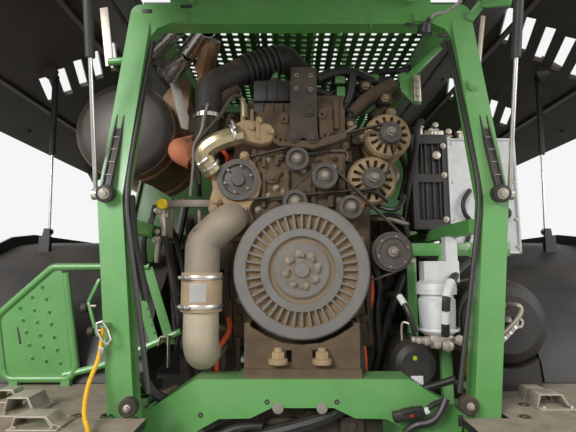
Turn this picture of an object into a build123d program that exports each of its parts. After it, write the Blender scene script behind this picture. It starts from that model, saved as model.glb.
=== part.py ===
"""Self-propelled forage harvester, parked with its rear hatch and both engine bay panels open.

Millimetres. +Y is forward, +X is the machine's right, +Z is up. The origin is on the ground under the
centre of the box that holds the whole machine as it stands, so the open hatch ends as far behind it as
the header coupler reaches in front of it.
"""

import os
from math import atan2, cos, pi, radians, sin, tan

from build123d import *

os.makedirs("parts", exist_ok=True)

# Overall places along the machine
rear_end = -3750.0
front_axle_y = 1800.0
wheelbase = 3050.0
rear_axle_y = front_axle_y - wheelbase
body_rear = -2850.0

# Wheels
front_tyre_r = 1042.0
front_tyre_w = 780.0
front_rim_r = 483.0
front_wheel_x = 1250.0
rear_tyre_r = 775.0
rear_tyre_w = 580.0
rear_rim_r = 356.0
kingpin_x = 880.0
kingpin_to_wheel = 380.0
rear_wheel_x = kingpin_x + kingpin_to_wheel
lug_height = 52.0
spindle_gap = 0.5

# Frame rails
rail_in_x = 310.0
rail_out_x = 410.0
rail_front_low = 1215.0
rail_front_high = 1430.0
rail_rear_low = 910.0
rail_rear_high = 1110.0
rail_front_y = 2650.0
rail_rear_y = -2700.0

# Engine, seen from behind the machine: its belt end faces the rear
crank_z = 1600.0
damper_face_y = -2400.0
damper_r = 222.0
damper_depth = 60.0
block_rear_y = -2240.0
block_front_y = -860.0
block_half_w = 255.0
block_low = 1330.0
head_low = 2020.0
head_high = 2260.0

# Rear arch of square tube
arch_tube = 74.0
arch_foot = (478.0, -2520.0, 900.0)
arch_bend = (578.0, -2500.0, 1812.0)
arch_top = (572.0, -2330.0, 2510.0)

# Deck beside the arch
deck_top = 1200.0
deck_thick = 22.0
deck_in_x = 558.0
deck_out_x = 1250.0
deck_front_y = -2180.0

# Roof, hatch and side panels of the engine bay
roof_rear_y = -2285.0
bay_front_y = -300.0
roof_half_w = 590.0
hatch_pivot = (0.0, -2400.0, 2665.0)
hatch_tilt = 15.0
panel_pivot = (640.0, 0.0, 2640.0)
panel_open = 40.0
panel_rear_y = -2330.0
panel_front_y = -340.0
skin = 26.0

# Cab
cab_half_w = 900.0
cab_floor = 2150.0
cab_rear_y = 1050.0
cab_front_y = 2650.0
cab_top = 3640.0
roof_cap_high = 3880.0
cab_wall = 60.0
glass_t = 8.0

# Spout
turret_y = 560.0
spout_lift_pivot = (0.0, 470.0, 3020.0)

# Feed house at the front
feed_half_w = 430.0


def save(name, *shapes):
    """Writes one node from its solids."""
    solids = []
    for shape in shapes:
        solids.extend(shape.solids())
    export_step(solids[0] if len(solids) == 1 else Compound(children=solids), f"parts/{name}.step")


def mirrored(shape):
    """The same piece on the other side of the machine."""
    return mirror(shape, about=Plane.YZ)


def both(shape):
    """A piece and its mirror image."""
    return [shape, mirrored(shape)]


def block(x, y, z):
    """A box from its three (low, high) pairs."""
    size = [high - low for low, high in (x, y, z)]
    middle = [(low + high) / 2 for low, high in (x, y, z)]
    return Pos(*middle) * Box(*size)


def side_shape(points, x0, x1, round_r=0.0):
    """A (y, z) outline carried across the machine from x0 to x1."""
    face = make_face(Polyline(*points, close=True))
    if round_r:
        face = fillet(face.vertices(), round_r)
    plane = Plane(origin=(x0, 0, 0), x_dir=(0, 1, 0), z_dir=(1, 0, 0))
    return extrude(plane * face, amount=x1 - x0)


def rear_shape(points, y0, y1, round_r=0.0):
    """An (x, z) outline carried along the machine from y0 forward to y1."""
    face = make_face(Polyline(*points, close=True))
    if round_r:
        face = fillet(face.vertices(), round_r)
    plane = Plane(origin=(0, y1, 0), x_dir=(1, 0, 0), z_dir=(0, -1, 0))
    return extrude(plane * face, amount=y1 - y0)


def plan_shape(points, z0, z1, round_r=0.0):
    """An (x, y) outline carried up from z0 to z1."""
    face = make_face(Polyline(*points, close=True))
    if round_r:
        face = fillet(face.vertices(), round_r)
    return extrude(Plane.XY.offset(z0) * face, amount=z1 - z0)


def rod(start, end, radius):
    """A round bar from one point to another."""
    way = Vector(*end) - Vector(*start)
    return extrude(Plane(origin=start, z_dir=way) * Circle(radius), amount=way.length)


def pipe(points, radius, bend):
    """A round pipe through points, with one bend radius or a list of them."""
    path = FilletPolyline(*points, radius=bend)
    return sweep(Plane(origin=path @ 0, z_dir=path % 0) * Circle(radius), path=path)


def turned(outline, centre, axis="x"):
    """An (along, radius) outline turned about an axis through centre."""
    face = make_face(Polyline(*outline, close=True))
    if axis == "x":
        plane = Plane(origin=centre, x_dir=(1, 0, 0), z_dir=(0, -1, 0))
        line = Axis(centre, (1, 0, 0))
    elif axis == "y":
        plane = Plane(origin=centre, x_dir=(0, 1, 0), z_dir=(1, 0, 0))
        line = Axis(centre, (0, 1, 0))
    else:
        plane = Plane(origin=centre, x_dir=(0, 0, 1), z_dir=(0, 1, 0))
        line = Axis(centre, (0, 0, 1))
    return revolve(plane * face, axis=line)


# Wheels


def tyre(centre, radius, width, rim_r, lugs, side):
    """A radial tyre with its slanting drive lugs; side is +1 where the arrow of the lugs points right."""
    half = width / 2
    crown = radius - lug_height
    bead = half * 0.72
    outline = [
        (-bead, rim_r),
        (-half, (rim_r + crown) / 2),
        (-half * 0.93, crown - 45),
        (-half * 0.45, crown),
        (half * 0.45, crown),
        (half * 0.93, crown - 45),
        (half, (rim_r + crown) / 2),
        (bead, rim_r),
    ]
    carcass = turned(outline, centre)
    lug_run = half * 0.98
    lug_w = radius * 0.058
    slant = radius * 0.15
    root = crown - 75
    top = radius + 20
    pieces = []
    for hand in (-1, 1):
        plan = [
            (-hand * half * 0.03, slant - lug_w * 0.6),
            (-hand * half * 0.03, slant + lug_w * 0.6),
            (hand * lug_run, -slant + lug_w * 0.8),
            (hand * lug_run, -slant - lug_w * 0.8),
        ]
        face = make_face(Polyline(*plan, close=True))
        bar = extrude(Plane.XY.offset(root) * face, amount=top - root)
        for i in range(lugs):
            turn = 360.0 / lugs * (i + (0.25 if hand > 0 else -0.25)) + 180.0 / lugs * 0.5
            pieces.append(Pos(*centre) * Rot(side * turn, 0, 0) * bar)
    drum = turned([(-half, 0), (-half, radius), (half, radius), (half, 0)], centre)
    return (carcass + pieces) & drum


def rim(centre, rim_r, width, outward, hub_r, bore_r, bore_half, studs):
    """A dished wheel disc in its barrel, with the hub that turns on the spindle."""
    half = width / 2 * 0.72
    o = outward
    face_x = o * half * 0.30
    barrel = turned(
        [(-half, rim_r - 14), (-half, rim_r), (half, rim_r), (half, rim_r - 14), (half * 0.55, rim_r - 60),
         (-half * 0.55, rim_r - 60)],
        centre,
    )
    disc = turned(
        [(face_x, bore_r), (face_x, hub_r * 1.5), (face_x - o * 90, rim_r - 58),
         (face_x - o * 112, rim_r - 58),
         (face_x - o * 22, hub_r * 1.5 - 6), (face_x - o * 22, bore_r)],
        centre,
    )
    hub = turned(
        [(face_x + o * 60, bore_r), (face_x + o * 60, hub_r * 0.8), (face_x, hub_r),
         (-o * bore_half, hub_r),
         (-o * bore_half, bore_r)],
        centre,
    )
    cap = turned(
        [(face_x + o * 60, 0), (face_x + o * 96, 0), (face_x + o * 90, hub_r * 0.45),
         (face_x + o * 60, hub_r * 0.62)],
        centre,
    )
    wheel = barrel + disc + hub + cap
    nuts = []
    for i in range(studs):
        angle = 2 * pi * i / studs
        y = centre[1] + hub_r * 1.24 * cos(angle)
        z = centre[2] + hub_r * 1.24 * sin(angle)
        start = centre[0] + face_x
        plane = Plane(origin=(start - o * 4, y, z), z_dir=(o, 0, 0))
        nuts.append(extrude(plane * RegularPolygon(17, 6), amount=30))
    return wheel + nuts


front_spindle_r = 95.0
rear_spindle_r = 60.0
for label, s in (("left", -1), ("right", 1)):
    c = (s * front_wheel_x, front_axle_y, front_tyre_r)
    save(f"front_{label}_tyre", tyre(c, front_tyre_r, front_tyre_w, front_rim_r, 20, 1))
    save(f"front_{label}_rim", rim(c, front_rim_r, front_tyre_w, s, 175, front_spindle_r + spindle_gap,
        150, 10))
    c = (s * rear_wheel_x, rear_axle_y, rear_tyre_r)
    save(f"rear_{label}_tyre", tyre(c, rear_tyre_r, rear_tyre_w, rear_rim_r, 20, 1))
    save(f"rear_{label}_rim", rim(c, rear_rim_r, rear_tyre_w, s, 120, rear_spindle_r + spindle_gap, 110, 8))

# Front drive axle: a housing with a bevelled centre, a final drive at each end and the two spindles

final_drive_in = 560.0
final_drive_out = front_wheel_x - front_tyre_w / 2 - 30
axle = turned(
    [(-final_drive_in - 10, 0), (-final_drive_in - 10, 135), (-260, 150), (-190, 230), (190, 230),
     (260, 150),
     (final_drive_in + 10, 135), (final_drive_in + 10, 0)],
    (0, front_axle_y, front_tyre_r),
)
# The centre is cut square above so that the rails sit on it
axle = axle & block((-700, 700), (front_axle_y - 300, front_axle_y + 300), (800, rail_front_low - 0.3))
ends = both(
    block((rail_in_x, rail_out_x), (front_axle_y - 110, front_axle_y + 110),
    (front_tyre_r + 60, rail_front_low - 0.3))
)
for s in (-1, 1):
    ends.append(
        turned(
            [(s * final_drive_in, 0), (s * final_drive_in, 210), (s * (final_drive_in + 60), 260),
             (s * (final_drive_out - 40), 260), (s * final_drive_out, 215),
             (s * final_drive_out, front_spindle_r),
             (s * (front_wheel_x + 140), front_spindle_r), (s * (front_wheel_x + 140), 0)],
            (0, front_axle_y, front_tyre_r),
        )
    )
save("front_axle", axle + ends)

# Main frame: two rails that step down behind the front axle, with cross members

step_y = (350.0, -100.0)
rail_outline = [
    (rail_front_y, rail_front_low),
    (rail_front_y, rail_front_high - 60),
    (rail_front_y - 60, rail_front_high),
    (step_y[0], rail_front_high),
    (step_y[1], rail_rear_high),
    (rail_rear_y, rail_rear_high),
    (rail_rear_y, rail_rear_low + 60),
    (rail_rear_y + 90, rail_rear_low),
    (step_y[1] - 40, rail_rear_low),
    (step_y[0] - 40, rail_front_low),
]
rail = side_shape(rail_outline, rail_in_x, rail_out_x)
frame = rail + mirrored(rail)
# (low y, high y, low z, high z) of each cross member
cross_members = [
    (-2690, -2600, 930, 1090),
    (-1480, -1320, 930, 1090),
    (-360, -260, 930, 1090),
    (700, 800, 1240, 1330),
    (1330, 1430, 1225, 1330),
]
for y0, y1, z0, z1 in cross_members:
    frame += block((-rail_in_x - 5, rail_in_x + 5), (y0, y1), (z0, z1))
# Legs of the body and of the cab, and the rear hitch with its bored plates
# (low y, high y, foot z, top z) of each pair of legs
legs = [
    (-250, -160, rail_rear_high - 5, 1639.7),
    (760, 850, rail_front_high - 5, 1639.7),
    (1360, 1450, rail_front_high - 5, 2029.7),
    (2420, 2510, rail_front_high - 5, 2029.7),
]
for y0, y1, z0, z1 in legs:
    leg = block((rail_in_x, rail_out_x), (y0, y1), (z0, z1))
    frame = frame + leg + mirrored(leg)
hitch_pin = (0.0, -2805.0)
frame += block((-160, 160), (-2760, -2685), (930, 1090))
for z in (950, 1040):
    frame += block((-75, 75), (-2850, -2755), (z, z + 28))
frame -= rod((*hitch_pin, 900), (*hitch_pin, 1100), 20.05)

# Rear axle beam on its centre pivot

eye_r = 72.0
eye_low = rear_tyre_r - 85
eye_high = rear_tyre_r + 85
kingpin_r = 32.0
beam = rear_shape(
    [(-kingpin_x, eye_low + 12), (-kingpin_x, eye_high - 12), (-420, eye_high - 12), (-180, 905),
     (180, 905),
     (420, eye_high - 12), (kingpin_x, eye_high - 12), (kingpin_x, eye_low + 12), (420, eye_low + 6),
     (180, eye_low - 40), (-180, eye_low - 40), (-420, eye_low + 6)],
    rear_axle_y - 62,
    rear_axle_y + 62,
)
for s in (-1, 1):
    beam += rod((s * kingpin_x, rear_axle_y, eye_low), (s * kingpin_x, rear_axle_y, eye_high), eye_r)
for s in (-1, 1):
    beam -= rod((s * kingpin_x, rear_axle_y, eye_low - 50), (s * kingpin_x, rear_axle_y, eye_high + 50),
                kingpin_r + 0.05)
pivot_z = 812.0
beam += rod((0, rear_axle_y - 150, pivot_z), (0, rear_axle_y + 150, pivot_z), 46)
save("rear_axle_beam", beam)

# The pivot stand that hangs under the rails, fore and aft of the beam

stand = []
for y0, y1 in ((rear_axle_y - 140, rear_axle_y - 70), (rear_axle_y + 70, rear_axle_y + 140)):
    plate = rear_shape(
        [(-rail_out_x, rail_rear_low + 5), (-rail_out_x, 880), (-110, 740), (110, 740), (rail_out_x, 880),
         (rail_out_x, rail_rear_low + 5)],
        y0, y1,
    )
    stand.append(plate - rod((0, y0 - 5, pivot_z), (0, y1 + 5, pivot_z), 46.3))
frame += stand
save("main_frame", frame)

# Steering knuckles and the tie rod that joins their arms

arm_reach = 220.0
tie_z = eye_low - 62
plate_t = 34.0
fork_gap = 2.0
for label, s in (("left", -1), ("right", 1)):
    x0 = kingpin_x
    wall_in = eye_r + 14
    wall_out = wall_in + 26
    fork = []
    for z0 in (eye_low - fork_gap - plate_t, eye_high + fork_gap):
        ear = plan_shape(
            [(s * (x0 - 62), rear_axle_y - 60), (s * (x0 - 62), rear_axle_y + 60),
             (s * (x0 + wall_out), rear_axle_y + 90), (s * (x0 + wall_out), rear_axle_y - 90)],
            z0, z0 + plate_t, 20,
        )
        fork.append(ear)
    low_x, high_x = sorted((s * (x0 + wall_in), s * (x0 + wall_out)))
    web = block((low_x, high_x), (rear_axle_y - 90, rear_axle_y + 90), (eye_low - 36, eye_high + 36))
    spindle = rod((s * (x0 + wall_in), rear_axle_y, rear_tyre_r),
        (s * (rear_wheel_x + 100), rear_axle_y, rear_tyre_r),
                  rear_spindle_r)
    collar = rod((s * (x0 + wall_in), rear_axle_y, rear_tyre_r),
        (s * (x0 + wall_out + 34), rear_axle_y, rear_tyre_r),
                 92)
    pin = rod((s * x0, rear_axle_y, eye_low - 50), (s * x0, rear_axle_y, eye_high + 50), kingpin_r)
    arm = plan_shape(
        [(s * (x0 - 45), rear_axle_y), (s * (x0 + 45), rear_axle_y),
         (s * (x0 + 32), rear_axle_y - arm_reach - 34),
         (s * (x0 - 32), rear_axle_y - arm_reach - 34)],
        eye_low - fork_gap - plate_t, eye_low - fork_gap, 12,
    )
    ball = rod((s * x0, rear_axle_y - arm_reach, tie_z - 30),
        (s * x0, rear_axle_y - arm_reach, eye_low - 20), 16)
    save(f"{label}_knuckle", fork[0] + fork[1] + web + spindle + collar + pin + arm + ball)

tie = rod((-kingpin_x + 25, rear_axle_y - arm_reach, tie_z),
    (kingpin_x - 25, rear_axle_y - arm_reach, tie_z), 21)
for s in (-1, 1):
    eye = rod((s * kingpin_x, rear_axle_y - arm_reach, tie_z - 24),
        (s * kingpin_x, rear_axle_y - arm_reach, tie_z + 24), 40)
    tie += eye
for s in (-1, 1):
    tie -= rod((s * kingpin_x, rear_axle_y - arm_reach, tie_z - 60),
        (s * kingpin_x, rear_axle_y - arm_reach, tie_z + 60),
               16.4)
save("tie_rod", tie)

# Rear arch: square tube bent outwards at mid height, with gussets at the top corners


def tube_run(start, end, size, reach):
    """A square tube between two points, run past both by reach."""
    a, b = Vector(*start), Vector(*end)
    way = (b - a).normalized()
    a, b = a - way * reach, b + way * reach
    plane = Plane(origin=a, x_dir=(0, 1, 0) if abs(way.Y) < 0.9 else (1, 0, 0), z_dir=way)
    return extrude(plane * Rectangle(size * 0.86, size), amount=(b - a).length)


post_low = tube_run(arch_foot, arch_bend, arch_tube, 0)
post_high = tube_run(arch_bend, arch_top, arch_tube, 0)
knee = rod((arch_bend[0], arch_bend[1] - arch_tube * 0.43, arch_bend[2]),
           (arch_bend[0], arch_bend[1] + arch_tube * 0.43, arch_bend[2]), arch_tube * 0.5)
corner = rod((arch_top[0], arch_top[1] - arch_tube * 0.43, arch_top[2]),
             (arch_top[0], arch_top[1] + arch_tube * 0.43, arch_top[2]), arch_tube * 0.5)
gusset = rear_shape(
    [(arch_top[0] - 30, arch_top[2] - 150), (arch_top[0] - 38, arch_top[2] - 95),
     (arch_top[0] - 62, arch_top[2] - 60),
     (arch_top[0] - 110, arch_top[2] - 38), (arch_top[0] - 170, arch_top[2] - 30),
      (arch_top[0] - 170, arch_top[2]),
     (arch_top[0], arch_top[2] + 10), (arch_top[0], arch_top[2] - 150)],
    arch_top[1] - 40, arch_top[1] - 2,
)
half_arch = post_low + post_high + knee + corner + gusset
top_beam = tube_run((-arch_top[0], arch_top[1], arch_top[2]), arch_top, arch_tube, 0)
arch = half_arch + mirrored(half_arch) + top_beam
# A hinge rail for the hatch stands on the top beam, and a foot plate joins each post to its rail
hinge_rail = rear_shape(
    [(-470, arch_top[2] + 30), (-470, arch_top[2] + 88), (470, arch_top[2] + 88), (470, arch_top[2] + 30)],
    arch_top[1] - 26, arch_top[1] - 2,
)
arch += hinge_rail

# Cross beam under the engine's belt end: an arched channel, open to the front

beam_top = 1266.0
beam_rear_y = -2425.0
beam_depth = 110.0
beam_low = rail_rear_high + 0.3
beam_outline = [
    (-330, beam_top), (330, beam_top), (495, beam_low + 52), (480, beam_low), (330, beam_low), (255, 1150),
    (160, 1152), (95, 1182), (-95, 1182), (-160, 1152), (-255, 1150), (-330, beam_low), (-480, beam_low),
    (-495, beam_low + 52),
]
beam_face = make_face(Polyline(*beam_outline, close=True))
beam_plane = Plane(origin=(0, beam_rear_y + beam_depth, 0), x_dir=(1, 0, 0), z_dir=(0, -1, 0))
hollow_face = offset(beam_face, amount=-10, kind=Kind.INTERSECTION)
cross_beam = extrude(beam_plane * beam_face, amount=beam_depth) - extrude(beam_plane * hollow_face,
                                                                          amount=beam_depth - 10)
# Feet that carry the beam down to the rails
for s in (-1, 1):
    low_x, high_x = sorted((s * (rail_in_x + 10), s * (rail_out_x - 10)))
    cross_beam += block((low_x, high_x), (beam_rear_y + 5, beam_rear_y + beam_depth),
        (beam_low, beam_top - 60))
save("engine_cross_beam", cross_beam)

# Engine: crankcase, head with its covers, sump and flywheel housing with feet on the rails

crankcase = side_shape(
    [(block_rear_y, block_low), (block_rear_y, head_low), (block_front_y, head_low),
     (block_front_y, block_low)],
    -block_half_w, block_half_w, 18,
)
head = rear_shape(
    [(-215, head_low - 5), (-215, head_high - 60), (-170, head_high), (170, head_high),
     (215, head_high - 60),
     (215, head_low - 5)],
    block_rear_y + 10, block_front_y - 40,
)
sump = rear_shape(
    [(-200, block_low + 5), (200, block_low + 5), (170, 1190), (-170, 1190)],
    block_rear_y + 60, block_front_y - 120,
)
cover_outline = [
    (-262, 1392), (-150, 1345), (150, 1345), (240, 1392), (246, 1700), (240, 1930), (226, 2100),
     (150, 2215),
    (-120, 2215), (-205, 2140), (-262, 1960), (-276, 1700),
]
cover_y = block_rear_y - 24
front_cover = rear_shape(cover_outline, cover_y, block_rear_y + 5, 24)
housing = turned(
    [(0, 0), (0, 265), (40, 285), (150, 285), (150, 0)], (0, block_front_y - 5, crank_z + 20), "y"
)
engine = crankcase + head + sump + front_cover + housing
engine -= block((165, 320), (block_rear_y - 40, -2058), (1826, head_high + 10))
for s in (-1, 1):
    foot = rear_shape(
        [(s * 200, 1330), (s * 200, 1500), (s * 262, 1500), (s * 330, 1230), (s * 400, 1150),
         (s * 400, rail_rear_high + 0.3), (s * 315, rail_rear_high + 0.3), (s * 262, 1330)],
        block_front_y - 200, block_front_y - 80,
    )
    engine += foot
# Belt end of the engine. (x, z, radius) of each pulley; the belts run in two planes
crank_pulley = (0.0, crank_z, 112.0)
pump_pulley = (-222.0, 1919.0, 70.0)
idler_top = (-12.0, 1996.0, 37.0)
idler_right = (83.0, 1926.0, 40.0)
idler_low = (-20.0, 1835.0, 37.0)
tensioner = (173.0, 1817.0, 36.0)
alternator_high = (326.0, 2094.0, 86.0)
alternator_low = (262.0, 1926.0, 90.0)
compressor = (312.0, 1662.0, 63.0)
belt_w = 26.0
belt_rear_y = -2333.0
belt_gap = 6.0
belt_planes = (belt_rear_y, belt_rear_y + belt_w + belt_gap)


def pulley(x, z, radius, y, hub_to):
    """A dished pulley in the belt plane that starts at y, on a shaft that reaches hub_to."""
    outline = [
        (-6, 0), (-6, radius * 0.32), (4, radius * 0.36), (7, radius * 0.72), (-2, radius * 0.80),
         (-2, radius + 5),
        (2, radius + 5), (2, radius), (belt_w - 2, radius), (belt_w - 2, radius + 5),
         (belt_w + 2, radius + 5),
        (belt_w + 2, radius * 0.5), (belt_w + 4, 22), (hub_to - y, 22), (hub_to - y, 0),
    ]
    return turned(outline, (x, y, z), "y")


belt_a = belt_planes[0]
belt_b = belt_planes[1]
pulleys = [
    pulley(*crank_pulley, belt_a, cover_y),
    pulley(*pump_pulley, belt_b, cover_y),
    pulley(*idler_top, belt_b, cover_y),
    pulley(*idler_right, belt_a, cover_y),
    pulley(*idler_low, belt_a, cover_y),
    pulley(*tensioner, belt_a, cover_y),
]


def belt(loop, y):
    """A flat belt pulled tight round circles given as (x, z, radius)."""
    sides = []
    for grow in (0.3, 6.3):
        rings = [Location((x, z, 0)) * Circle(radius + grow).edge() for x, z, radius in loop]
        sides.append(make_hull(rings))
    plane = Plane(origin=(0, y + belt_w - 3, 0), x_dir=(1, 0, 0), z_dir=(0, -1, 0))
    return extrude(plane * (sides[1] - sides[0]), amount=belt_w - 6)


alternator_pulley_r = 34.0
upper_loop = [pump_pulley, (*alternator_high[:2], alternator_pulley_r),
    (*alternator_low[:2], alternator_pulley_r)]
lower_loop = [crank_pulley, compressor, idler_right, idler_low]
save("belt_drive", *pulleys, belt(upper_loop, belt_b), belt(lower_loop, belt_a))

# Alternators with slotted end bells, and the compressor below them


def alternator(x, z, radius, y):
    """A slotted end bell in front of a laminated body, with its small pulley ahead of it."""
    body = turned(
        [(belt_w + 8, 0), (belt_w + 8, radius * 0.42), (belt_w + 14, radius * 0.9), (belt_w + 26, radius),
         (belt_w + 70, radius), (belt_w + 74, radius * 0.92), (belt_w + 108, radius * 0.92),
          (belt_w + 112, radius),
         (belt_w + 160, radius), (belt_w + 178, radius * 0.8), (belt_w + 178, 0)],
        (x, y, z), "y",
    )
    slots = []
    for i in range(14):
        slot = Pos(radius * 0.66, 0, 0) * Box(radius * 0.34, 40, radius * 0.15)
        slots.append(Pos(x, y + belt_w + 24, z) * Rot(0, 360 / 14 * i, 0) * slot)
    wheel = turned(
        [(-8, 0), (-8, 14), (-2, alternator_pulley_r * 0.8), (-2, alternator_pulley_r + 5),
         (1, alternator_pulley_r + 5),
         (1, alternator_pulley_r), (belt_w - 2, alternator_pulley_r), (belt_w - 2, alternator_pulley_r + 5),
         (belt_w + 2, alternator_pulley_r + 5), (belt_w + 2, 20), (belt_w + 12, 20), (belt_w + 12, 0)],
        (x, y, z), "y",
    )
    return (body - slots) + wheel


bracket_y = (belt_b + belt_w + 178.3, belt_b + belt_w + 200)
alternator_bracket = rear_shape(
    [(165.3, 1860), (215, 1842), (330, 1850), (352, 1960), (410, 2080), (390, 2170), (300, 2190),
     (200, 2150),
     (165.3, 2100)],
    *bracket_y, 12,
)
high = alternator(*alternator_high, belt_b)
low = alternator(*alternator_low, belt_b)
clutch = turned(
    [(-10, 0), (-10, 22), (-4, 24), (-4, 44), (-10, 46), (-10, 60), (-2, 63), (-2, 68), (2, 68), (2, 63),
     (belt_w - 2, 63), (belt_w - 2, 68), (belt_w + 2, 68), (belt_w + 2, 30), (belt_w + 10, 52),
      (belt_w + 150, 56),
     (belt_w + 150, 0)],
    (compressor[0], belt_a, compressor[1]), "y",
)
save("engine_accessories", high, low, alternator_bracket, clutch)

# Crank damper: a heavy ring with radial vanes round a bolted hub

damper_centre = (0.0, damper_face_y, crank_z)
damper = turned(
    [(-6, 0), (-6, 23), (4, 25), (4, 87), (14, 98), (14, 104), (0, 110), (0, 134), (16, 138), (16, 179),
     (0, 183),
     (0, damper_r - 6), (6, damper_r), (damper_depth - 6, damper_r), (damper_depth, damper_r - 6),
     (damper_depth, 40), (belt_rear_y - damper_face_y - 6.3, 40), (belt_rear_y - damper_face_y - 6.3, 0)],
    damper_centre, "y",
)
vanes = []
for i in range(40):
    vane = Pos(158, 8.5, 0) * Box(46, 17, 7)
    vanes.append(Pos(*damper_centre) * Rot(0, 9.0 * i, 0) * vane)
nuts = []
for i in range(8):
    plane = Plane(
        origin=(49 * cos(i * pi / 4), damper_face_y + 8, crank_z + 49 * sin(i * pi / 4)), z_dir=(0, -1, 0)
    )
    nuts.append(extrude(plane * RegularPolygon(8.5, 6), amount=16))
save("crank_damper", damper + vanes + nuts)

# Cast mount that carries the belt end of the engine on the cross beam

mount_z = beam_top + 0.3
mount_y = (beam_rear_y + 12, beam_rear_y + 105)
upright_outline = [
    (-185, mount_z), (185, mount_z), (185, 1432), (158, 1414), (110, 1386), (60, 1366), (0, 1360),
     (-60, 1366),
    (-110, 1386), (-158, 1414), (-185, 1432),
]
upright = rear_shape(upright_outline, mount_y[0] + 30, mount_y[0] + 50)
for x in (-42, 42):
    upright -= block((x - 9, x + 9), (mount_y[0], mount_y[1]), (1308, 1346))
mount = upright + block((-185, 185), mount_y, (mount_z, mount_z + 26))
for s in (-1, 1):
    low_x, high_x = sorted((s * 167, s * 185))
    mount += side_shape(
        [(mount_y[0] + 30, mount_z), (mount_y[0] + 30, 1430), (cover_y - 0.3, 1430), (cover_y - 0.3, 1330),
         (mount_y[1], mount_z)],
        low_x, high_x,
    )
save("engine_block", engine, mount)

# Coolant pipe at the left of the belt end: cast elbow, rubber sleeve and lower elbow

pipe_r = 56.0
elbow_start = (-236, cover_y - 0.3, 1772)
elbow_high = pipe([elbow_start, (-236, -2388, 1772), (-322, -2400, 1690), (-322, -2400, 1580)], pipe_r,
    [58, 50])
flange = rod(elbow_start, (-236, cover_y - 15, 1772), 68)
elbow_low = pipe([(-322, -2400, 1482), (-322, -2400, 1332), (-326, -2250, 1332), (-326, -2080, 1332)],
    pipe_r, [70, 40])
sleeve = rod((-322, -2400, 1470), (-322, -2400, 1592), pipe_r + 9) - rod((-322, -2400, 1460),
    (-322, -2400, 1600),
                                                                       pipe_r + 0.3)
save("coolant_pipe", elbow_high + flange, elbow_low, sleeve)

# Air intake: metal elbow, ribbed rubber bellows and the drop to the turbocharger

duct_r = 52.0
duct = pipe([(0, -1980, 2478), (-60, -2120, 2470), (-230, -2160, 2390), (-352, -2200, 2310),
    (-352, -2200, 2170)],
            duct_r, [50, 120, 60])
rings = []
for i in range(7):
    t = i / 6
    at = Vector(-92, -2128, 2455) * (1 - t) + Vector(-212, -2156, 2399) * t
    way = Vector(-120, -28, -56).normalized()
    rings.append(rod(at - way * 7, at + way * 7, duct_r + 9))
save("intake_duct", duct + rings)

# Turbocharger with its wrapped exhaust elbow, left of the head

turbo = turned(
    [(0, 0), (0, 60), (12, 92), (70, 92), (84, 50), (120, 46), (134, 84), (190, 88), (205, 56), (205, 0)],
    (-352, -2160, 2068), "y",
)
turbo_inlet = rod((-352, -2110, 2068), (-352, -2200, 2068), 40) + rod((-352, -2200, 2020),
    (-352, -2200, 2169.7), duct_r)
scroll = rod((-352, -2000, 2068), (-215.4, -2000, 2068), 44)
wrap = pipe([(-443, -2030, 2068), (-508, -2030, 2100), (-508, -1640, 2245), (-577.4, -1640, 2245)], 52,
    [50, 50])
save("turbocharger", turbo + scroll + turbo_inlet, wrap)

# Exhaust canister on the left, along the bay

canister_c = (-800.0, -1900.0, 2245.0)
canister_r = 222.0
canister_l = 650.0
canister = turned(
    [(0, 0), (0, canister_r - 40), (14, canister_r - 14), (30, canister_r), (34, canister_r + 6),
     (58, canister_r + 6),
     (62, canister_r), (canister_l - 30, canister_r), (canister_l, canister_r - 40), (canister_l, 0)],
    canister_c, "y",
)
canister += pipe([(-800, -1270, 2245), (-800, -1110, 2245), (-430, -1090, 2330), (-430, -1090, 2587)], 62,
    [80, 80])

# Engine bay: longerons behind the arch, front frame, and the rails at mid height


def thick(points, t):
    """The outline of a bent sheet: the points, then the same line moved t to its left, back again."""
    moved = []
    for i, (x, y) in enumerate(points):
        before = points[max(i - 1, 0)]
        after = points[min(i + 1, len(points) - 1)]
        a = atan2(y - before[1], x - before[0]) if i else atan2(after[1] - y, after[0] - x)
        b = atan2(after[1] - y, after[0] - x) if i < len(points) - 1 else a
        mean = (a + b) / 2
        reach = t / cos((b - a) / 2)
        moved.append((x - reach * sin(mean), y + reach * cos(mean)))
    return list(points) + moved[::-1]


longeron_x = (530, 588)
mid_rail_x = (520, 558)
mid_rail_z = (1715, 1758)
arch_front_y = arch_top[1] + arch_tube * 0.43
bay = block(longeron_x, (arch_front_y + 0.3, bay_front_y), (2530, 2588))
bay += block(longeron_x, (bay_front_y - 60, bay_front_y), (rail_rear_high + 0.3, 2588))
bay += block(mid_rail_x, (arch_bend[1] + arch_tube * 0.43 + 6, bay_front_y - 30), mid_rail_z)
bay = bay + mirrored(bay)
for z in ((rail_rear_high + 0.3, 1170), (2530, 2588)):
    bay += block((-588, 588), (bay_front_y - 60, bay_front_y), z)
bay += block((-588, 588), (-1330, -1290), (2535, 2588))
save("bay_frame", bay)

# Perforated roof with a stack for the exhaust

stack_at = (-430.0, -1090.0)
roof_sheet = block((-roof_half_w, roof_half_w), (roof_rear_y, bay_front_y), (2588.3, 2592))
for col in range(13):
    for row in range(7):
        x = -480 + col * 80 + (20 if row % 2 else -20)
        y = -2190 + row * 125
        roof_sheet -= Pos(x, y, 2590) * Box(46, 70, 12)
roof_sheet -= Pos(*stack_at, 2590) * Cylinder(70, 40)
for y in (-2285, -1235, -300):
    roof_sheet += block((-roof_half_w, roof_half_w),
        (y if y < -300 else y - 30, y + 30 if y < -300 else y), (2592, 2606))
stack = Pos(*stack_at, 2678) * (Cylinder(84, 171) - Cylinder(70, 175))
stack += Pos(*stack_at, 2598.5) * (Cylinder(110, 12) - Cylinder(70, 14))

# Decks each side of the arch, on bearers from the rails

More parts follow.
